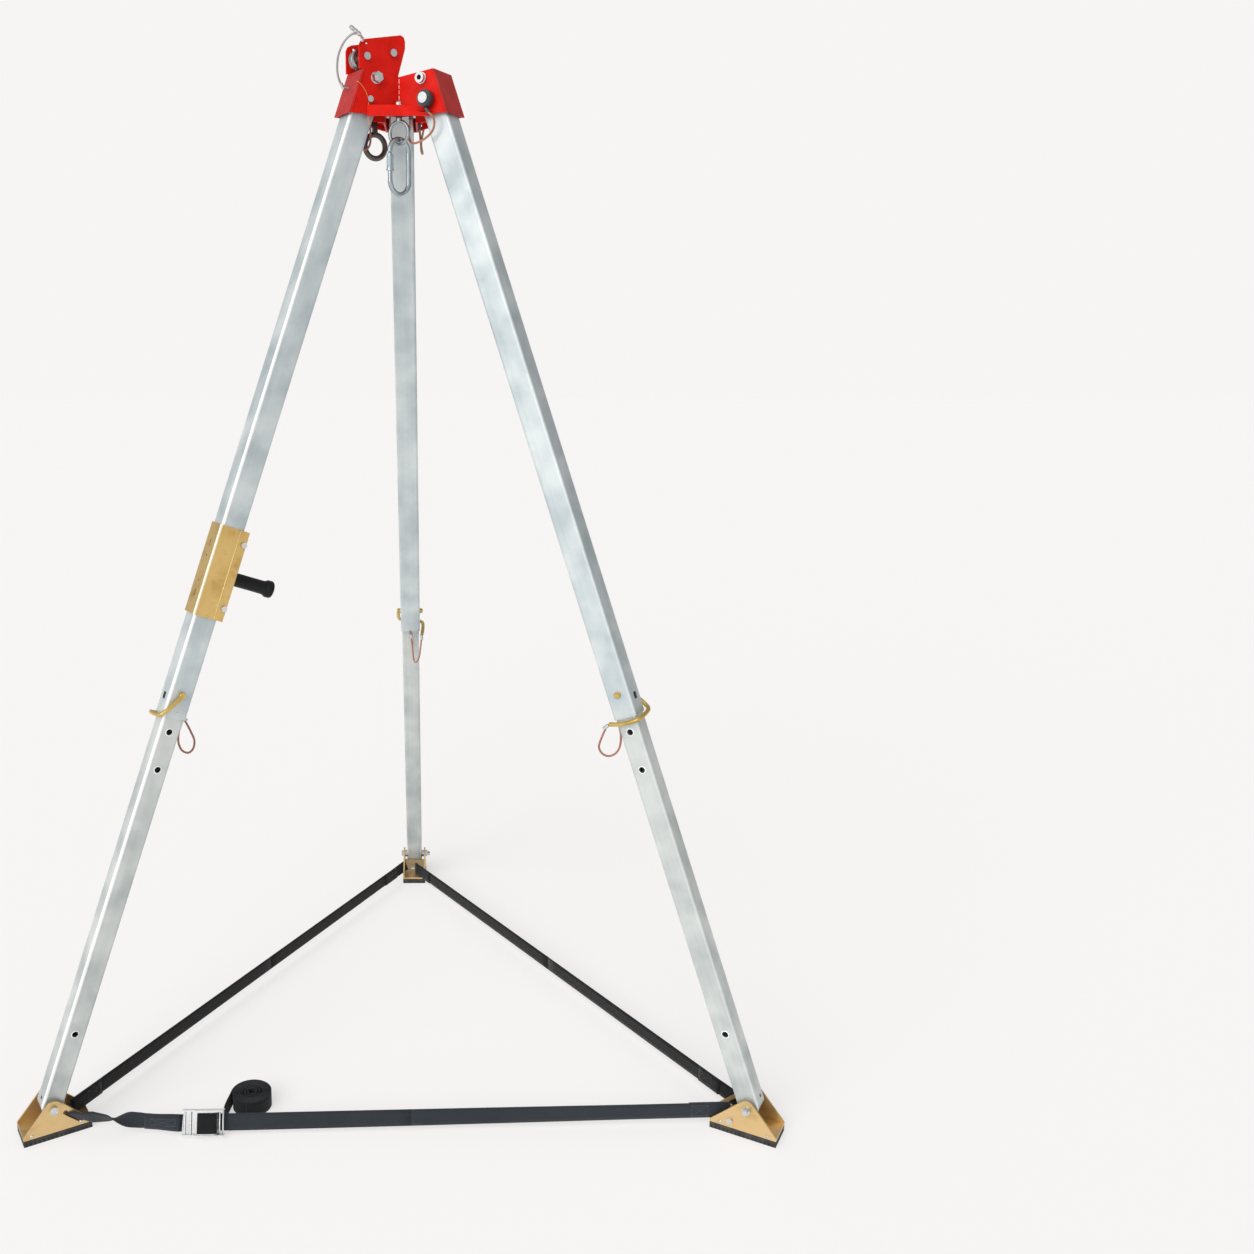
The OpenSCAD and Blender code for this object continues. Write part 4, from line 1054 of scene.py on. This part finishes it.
# Pale dashes down the head's front bend are painted highlights where the bend catches the light.
dashes = bmesh.new()
for dash in HIGHLIGHT_DASHES:
    seam = [(0, -0.0414, z) for z in dash]
    weld(dashes, Matrix.Translation(AXIS), seam, DASH_BEAD, (0, -1, 0))
finish_piece("head_highlight_dashes", dashes, dash_highlight_paint, "head")
print("paint is chipped at", len(HIGHLIGHT_DASHES), "places")

# %% [markdown]
# The carabiner's sleeve is knurled and screws down a thread that shows on the gate below it
# and on the nose. Both are the turned zigzag again, so low that the sleeve slides over them.
# The knurl adds small ribs along the sleeve.

# %% Carabiner thread and knurl
CARABINER = Matrix.Translation(AXIS + Vector((0, -0.061, -0.1118))) @ turned(45, "Z")
GATE = CARABINER @ moved(-0.025, 0, 0)
KNURLS = 28
KNURL = [(0, 0), (0.3, 0), (0.5, 0.8), (0.5, 19.2), (0.3, 20), (0, 20)]
SLEEVE_RADIUS = 0.0064
SLEEVE_AT = -0.055
FINE_THREAD = (0.00452, 0.00006, 0.001)


def fine_thread(name, length, z, body):
    threads = [(ridged(*FINE_THREAD, length), GATE @ moved(0, 0, z))]
    assemble(name, threads, ferrule_grey, body)


fine_thread("gate_thread", 0.008, -0.0705, "carabiner_gate")
fine_thread("nose_thread", 0.007, -0.0788, "carabiner")
rib = lathe(KNURL, 8, MM)
around = [GATE @ turned(360 / KNURLS * n, "Z") for n in range(KNURLS)]
ribs = [(rib, spot @ moved(SLEEVE_RADIUS, 0, SLEEVE_AT)) for spot in around]
assemble("sleeve_knurl", ribs, carabiner_steel, "carabiner_sleeve")
print("knurl ribs:", KNURLS)

# %% [markdown]
# A thin orange safety wire runs down the left leg's near cheek, from the cable's end past the
# lock pin's tip, and hangs over the edge in a short twist.

# %% Safety wire
WIRE_D = 0.0014
WIRE = [
    (112, 33, -10), (108, 36.2, -12), (98, 36, -22), (91, 35.9, -34), (88.5, 36, -52),
    (89, 36.2, -68), (91, 37, -78), (88, 38, -84), (90, 36.5, -88),
]
line = route(HEAD["left"], WIRE)
rod("safety_wire", line, WIRE_D, orange_wire, "head")
print("safety wire is", round(length_of(line), 3), "m long")

# %% [markdown]
# Stitches follow a band. Each is a small flattened ball on both faces, laid along the sides and
# the diagonals of a box. A sewn end is a second layer of webbing with such a box on it.

# %% Sewn ends
STITCH = (0.0014, 0.0004, 0.0003)
STITCH_PITCH = 0.0036
OUTER_FACES = (-0.0014, 0.0040)
INNER_FACES = (-0.0040, 0.0014)
LAP = 0.085
LAP_STEP = 0.01
LAP_BOX = (0.045, 0.08, 0.012)
FAR_LAP = (0.125, 0.062)
FAR_BOX = (0.12, 0.085)
END_LAP = (0.004, 0.078)
END_BOX = (0.014, 0.066, 0.0075)


def box_rows(start, end, half):
    corners = [(start, -half), (end, -half), (end, half), (start, half)]
    return list(zip(corners, corners[1:] + corners[:1])) + [corners[::2], corners[1::2]]


def stitches(name, band, rows, lifts, body):
    whole = bmesh.new()
    stitch = bmesh.new()
    bmesh.ops.create_icosphere(stitch, subdivisions=1, radius=1)
    stitch.transform(Matrix.Diagonal((*STITCH, 1)))
    for (d0, v0), (d1, v1) in rows:
        count = max(2, round(math.hypot(d1 - d0, v1 - v0) / STITCH_PITCH))
        lean = Matrix.Rotation(math.atan2(v1 - v0, d1 - d0), 4, "Z")
        for n in range(count):
            t = (n + 0.5) / count
            here = band.place(d0 + (d1 - d0) * t)[0]
            for lift in lifts:
                add_copy(whole, stitch, here @ moved(0, v0 + (v1 - v0) * t, lift) @ lean)
    stitch.free()
    return finish_piece(name, whole, thread, body)


def sewn_start(label, band, finish, side):
    body = "shank_" + side
    lap = band.cloth("sewn_start_" + label, 0.0, LAP, LAP_STEP, finish, body, lift=PLY_STEP)
    return lap, stitches("start_stitches_" + label, band, box_rows(*LAP_BOX), OUTER_FACES, body)


for (first, second), band in REAR.items():
    label = first + "_" + second
    for piece in sewn_start(label, band, rear_webbing, first):
        pull_in(piece, first, band, 0.0)
    start, end = (band.length - back for back in FAR_LAP)
    body = "shank_" + second
    lap = band.cloth("sewn_far_" + label, start, end, LAP_STEP, rear_webbing, body, lift=PLY_STEP)
    box = box_rows(*(band.length - back for back in FAR_BOX), LAP_BOX[2])
    for piece in (lap, stitches("far_stitches_" + label, band, box, OUTER_FACES, body)):
        pull_in(piece, second, band, end)
for piece in sewn_start("front", front, strap_webbing, "right"):
    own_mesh(piece)
lap = end_band.cloth("sewn_end_lap", *END_LAP, TWIST_STEP, strap_webbing, "shank_left", lift=-PLY_STEP)
box = box_rows(*END_BOX)
for piece in (lap, stitches("end_stitches_front", end_band, box, INNER_FACES, "shank_left")):
    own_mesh(piece)
print("sewn ends:", 2 * len(REAR) + 2)

# %% [markdown]
# The feet are riveted to their soles, and the soles have a row of tread blocks along their
# lower edges. The rivets are turned domes, with a smaller one on the left upper tube. The
# treads' shallow grooves are thin dark blocks that stand just proud of the rubber, painted
# shade for the hollows.

# %% Rivets and treads
DOME = [(0, 0.0018), (0.0018, 0.0016), (0.0032, 0.001), (0.0038, 0.0), (0, 0.0)]
RIVETS = (-0.052, 0.046)
RIVET_HEIGHT = 0.0205
GROOVES = 16
GROOVE_START = -0.07
GROOVE_PITCH = 0.0085
GROOVE_HEIGHT = 0.0035
SOLE_HALF = 0.033
TUBE_RIVET = -1.313
dome = lathe(DOME, 20)
# Each groove is a thin dark block, painted shade for the hollow.
groove = block(0.0022, 0.0004, 0.0068)
for side in SIDES:
    foot = FOOT[side]
    rivets = [(dome, on_face(foot, x, SOLE_HALF, RIVET_HEIGHT, face)) for x in RIVETS for face in (-1, 1)]
    assemble("foot_rivets_" + side, rivets, bright_zinc, "foot_" + side)
    along = [GROOVE_START + n * GROOVE_PITCH for n in range(GROOVES)]
    spots = [(x, face * SOLE_HALF, GROOVE_HEIGHT) for x in along for face in (-1, 1)]
    grooves = [(groove, foot @ moved(*spot)) for spot in spots]
    assemble("sole_tread_" + side, grooves, tread_shade_black, "foot_" + side)
rivet = [(lathe(DOME, 20, 0.7), on_face(LEG["left"], -0.002, UPPER_HALF, TUBE_RIVET))]
assemble("tube_rivet_left", rivet, bright_zinc, "leg_left")
print("rivets and treads on", len(SIDES), "feet")

# %% [markdown]
# The grip is a soft moulding: a straight tube with a collar at the bracket and a flanged end
# with a shallow dish. A lathe profile gives it, and fine parting lines run along its two sides.

# %% Grip
GRIP_START = 0.0197
GRIP = [
    (0, 0), (16.2, 0), (16.5, 0.6), (16.5, 4.2), (15.8, 5), (14.6, 6), (14.2, 9), (14.1, 40), (14.2, 70),
    (14.6, 74), (15.8, 77), (17.4, 79), (18, 81), (18, 88.4), (17.6, 90.4), (16.6, 91.4), (15.2, 91.6),
    (14.2, 90.8), (13.6, 88), (12.8, 86.6), (0, 86),
]
way = Vector(joint["handle_turn"]["axis"]).normalized()
grip_frame = way.to_track_quat("Z", "Y").to_matrix().to_4x4()
grip_frame.translation = joint_spot("handle_turn") - way * GRIP_START
parting = lathe([(0, 0), (0.0005, 0.001), (0.0005, 0.054), (0, 0.055)], 8)
copies = [(lathe(GRIP, 48, MM), grip_frame)]
copies += [(parting, grip_frame @ turned(angle, "Z") @ moved(0.0141, 0, 0.008)) for angle in (0, 180)]
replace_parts(assemble("soft_grip", copies, black_plastic, "handle"), "handle_grip")
print("grip turns about", [round(v, 2) for v in way])

# %% [markdown]
# The winch bracket's flanges are creased, and a thin pale rod along each crease is a painted
# highlight. The buckle's bars stand in front of the strap, and a turn of webbing covers its cam.

# %% Creases and buckle bars
COVER_W = 0.040
COVER_T = 0.0018
COVER = [(-10.5, -10), (-4, -10.8), (8, -11.2), (19, -11.2), (26, -9.8), (29.2, -6)]
BAR = [(0, 0), (1.6, 0), (1.9, 0.4), (1.9, 46.6), (1.6, 47), (0, 47)]
CREASE = [(0, 0), (0.7, 1), (0.7, 187), (0, 188)]
CREASE_SPOT = (-0.016, 0.02835, -1.112)
x, y, z = CREASE_SPOT
crease = lathe(CREASE, 10, MM)
# Painted highlight: a thin pale rod along each flange crease.
crease_highlights = [(crease, LEG["left"] @ moved(x, face * y, z)) for face in (-1, 1)]
assemble("winch_crease_highlights", crease_highlights, crease_highlight_zinc, "leg_left")
bar = lathe(BAR, 16, MM)
bars = [(bar, BUCKLE @ moved(x, -0.004, -0.0235)) for x in (0.0345, 0.0415)]
assemble("buckle_bars", bars, bright_zinc, "buckle")
cover = Band([(in_buckle(x * MM, y * MM), BUCKLE_UP, COVER_W) for x, y in COVER])
cover.cloth("cam_cover", 0.0, cover.length, 0.003, rear_webbing, "buckle_cam", COVER_T)
print("cam cover is", round(cover.length, 3), "m of webbing")

# %% [markdown]
# The tripod stands on a white studio floor that runs into a white background. Camera, glossy
# and transmission rays see the floor as almost white with the tripod's shadow, by mixing in an
# even glow. For every other ray it is a pale matt floor, which lights the metal from below.

# %% Floor
WHITE = srgb(247, 245, 244)
FLOOR_SIZE = 40
FLOOR_GLOW = 0.6

floor_shape = bmesh.new()
bmesh.ops.create_grid(floor_shape, x_segments=1, y_segments=1, size=FLOOR_SIZE)
floor_data = bpy.data.meshes.new("studio_floor")
floor_shape.to_mesh(floor_data)
floor_shape.free()
studio_floor = in_scene("studio_floor", floor_data)
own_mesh(studio_floor)

matt = Finish("studio_floor", srgb(248, 246, 245), 0.9, Specular_IOR_Level=0.0)
studio_floor.data.materials.append(matt.material)
seen = matt.ray("Camera") + matt.ray("Glossy") + matt.ray("Transmission")
share = matt.math("MINIMUM", seen, 1) * FLOOR_GLOW
glow = matt.node("ShaderNodeEmission", {}, {"Color": WHITE, "Strength": 1.0})
lit = Value(matt, matt.surface.outputs[0])
look = matt.node("ShaderNodeMixShader", {}, {0: share, 1: lit, 2: glow})
matt.feed(matt.tree.nodes["Material Output"].inputs["Surface"], look)
print("floor glow", FLOOR_GLOW)

# %% [markdown]
# The world is the room. The camera sees it plain white. Other rays see a white room that is
# brighter towards its window, on the left in front, and dimmer on the right, which models
# the square tubes: each face reflects its own side of the room, and round edges show the window.

# %% World
WINDOW_AZIMUTH = math.radians(234)
WINDOW = (math.cos(WINDOW_AZIMUTH) * 0.96, math.sin(WINDOW_AZIMUTH) * 0.96, 0.28)
WINDOW_EDGE = {"From Min": 0.86, "From Max": 0.97}
WINDOW_GLOW = 1.5
ROOM_COLOR = srgb(250, 250, 251)
ROOM = 0.56
ROOM_SLOPE = 0.28

world = bpy.data.worlds.new("studio")
bpy.context.scene.world = world
world.use_nodes = True
room = Nodes(world.node_tree)
place = room.node("ShaderNodeTexCoord", out="Generated")
towards = room.node("ShaderNodeVectorMath", {"operation": "DOT_PRODUCT"}, {0: place, 1: WINDOW}, "Value")
level = room.math("MULTIPLY_ADD", towards, ROOM_SLOPE, ROOM)
smooth = {"interpolation_type": "SMOOTHSTEP"}
pane = room.node("ShaderNodeMapRange", smooth, {"Value": towards, "To Max": WINDOW_GLOW, **WINDOW_EDGE})
walls = room.node("ShaderNodeBackground", {}, {"Color": ROOM_COLOR, "Strength": level + pane})
backdrop = room.node("ShaderNodeBackground", {}, {"Color": WHITE, "Strength": 1.0})
look = room.node("ShaderNodeMixShader", {}, {0: room.ray("Camera"), 1: walls, 2: backdrop})
room.feed(world.node_tree.nodes["World Output"].inputs["Surface"], look)
print("room level from", ROOM - ROOM_SLOPE, "to", ROOM + ROOM_SLOPE)

# %% [markdown]
# A wide sun is the key light. It has the same strength everywhere, so the white floor stays
# even out to the horizon, and its width gives the soft shadow of a big soft box. It is hidden
# from glossy rays, because a metal would show it as a hard white spot.

# %% Key light
SUN_AZIMUTH = math.radians(236)
SUN_HEIGHT = math.radians(38)
SUN_WIDTH = math.radians(50)
SUN_STRENGTH = 1.75

lamp = bpy.data.lights.new("key_sun", "SUN")
lamp.energy = SUN_STRENGTH
lamp.angle = SUN_WIDTH
key_sun = in_scene("key_sun", lamp)
flat = math.cos(SUN_HEIGHT)
from_sun = Vector((math.cos(SUN_AZIMUTH) * flat, math.sin(SUN_AZIMUTH) * flat, math.sin(SUN_HEIGHT)))
key_sun.location = UP + from_sun * 3
key_sun.rotation_euler = (-from_sun).to_track_quat("-Z", "Y").to_euler()
key_sun.visible_glossy = False
bpy.context.scene.view_settings.view_transform = "Standard"
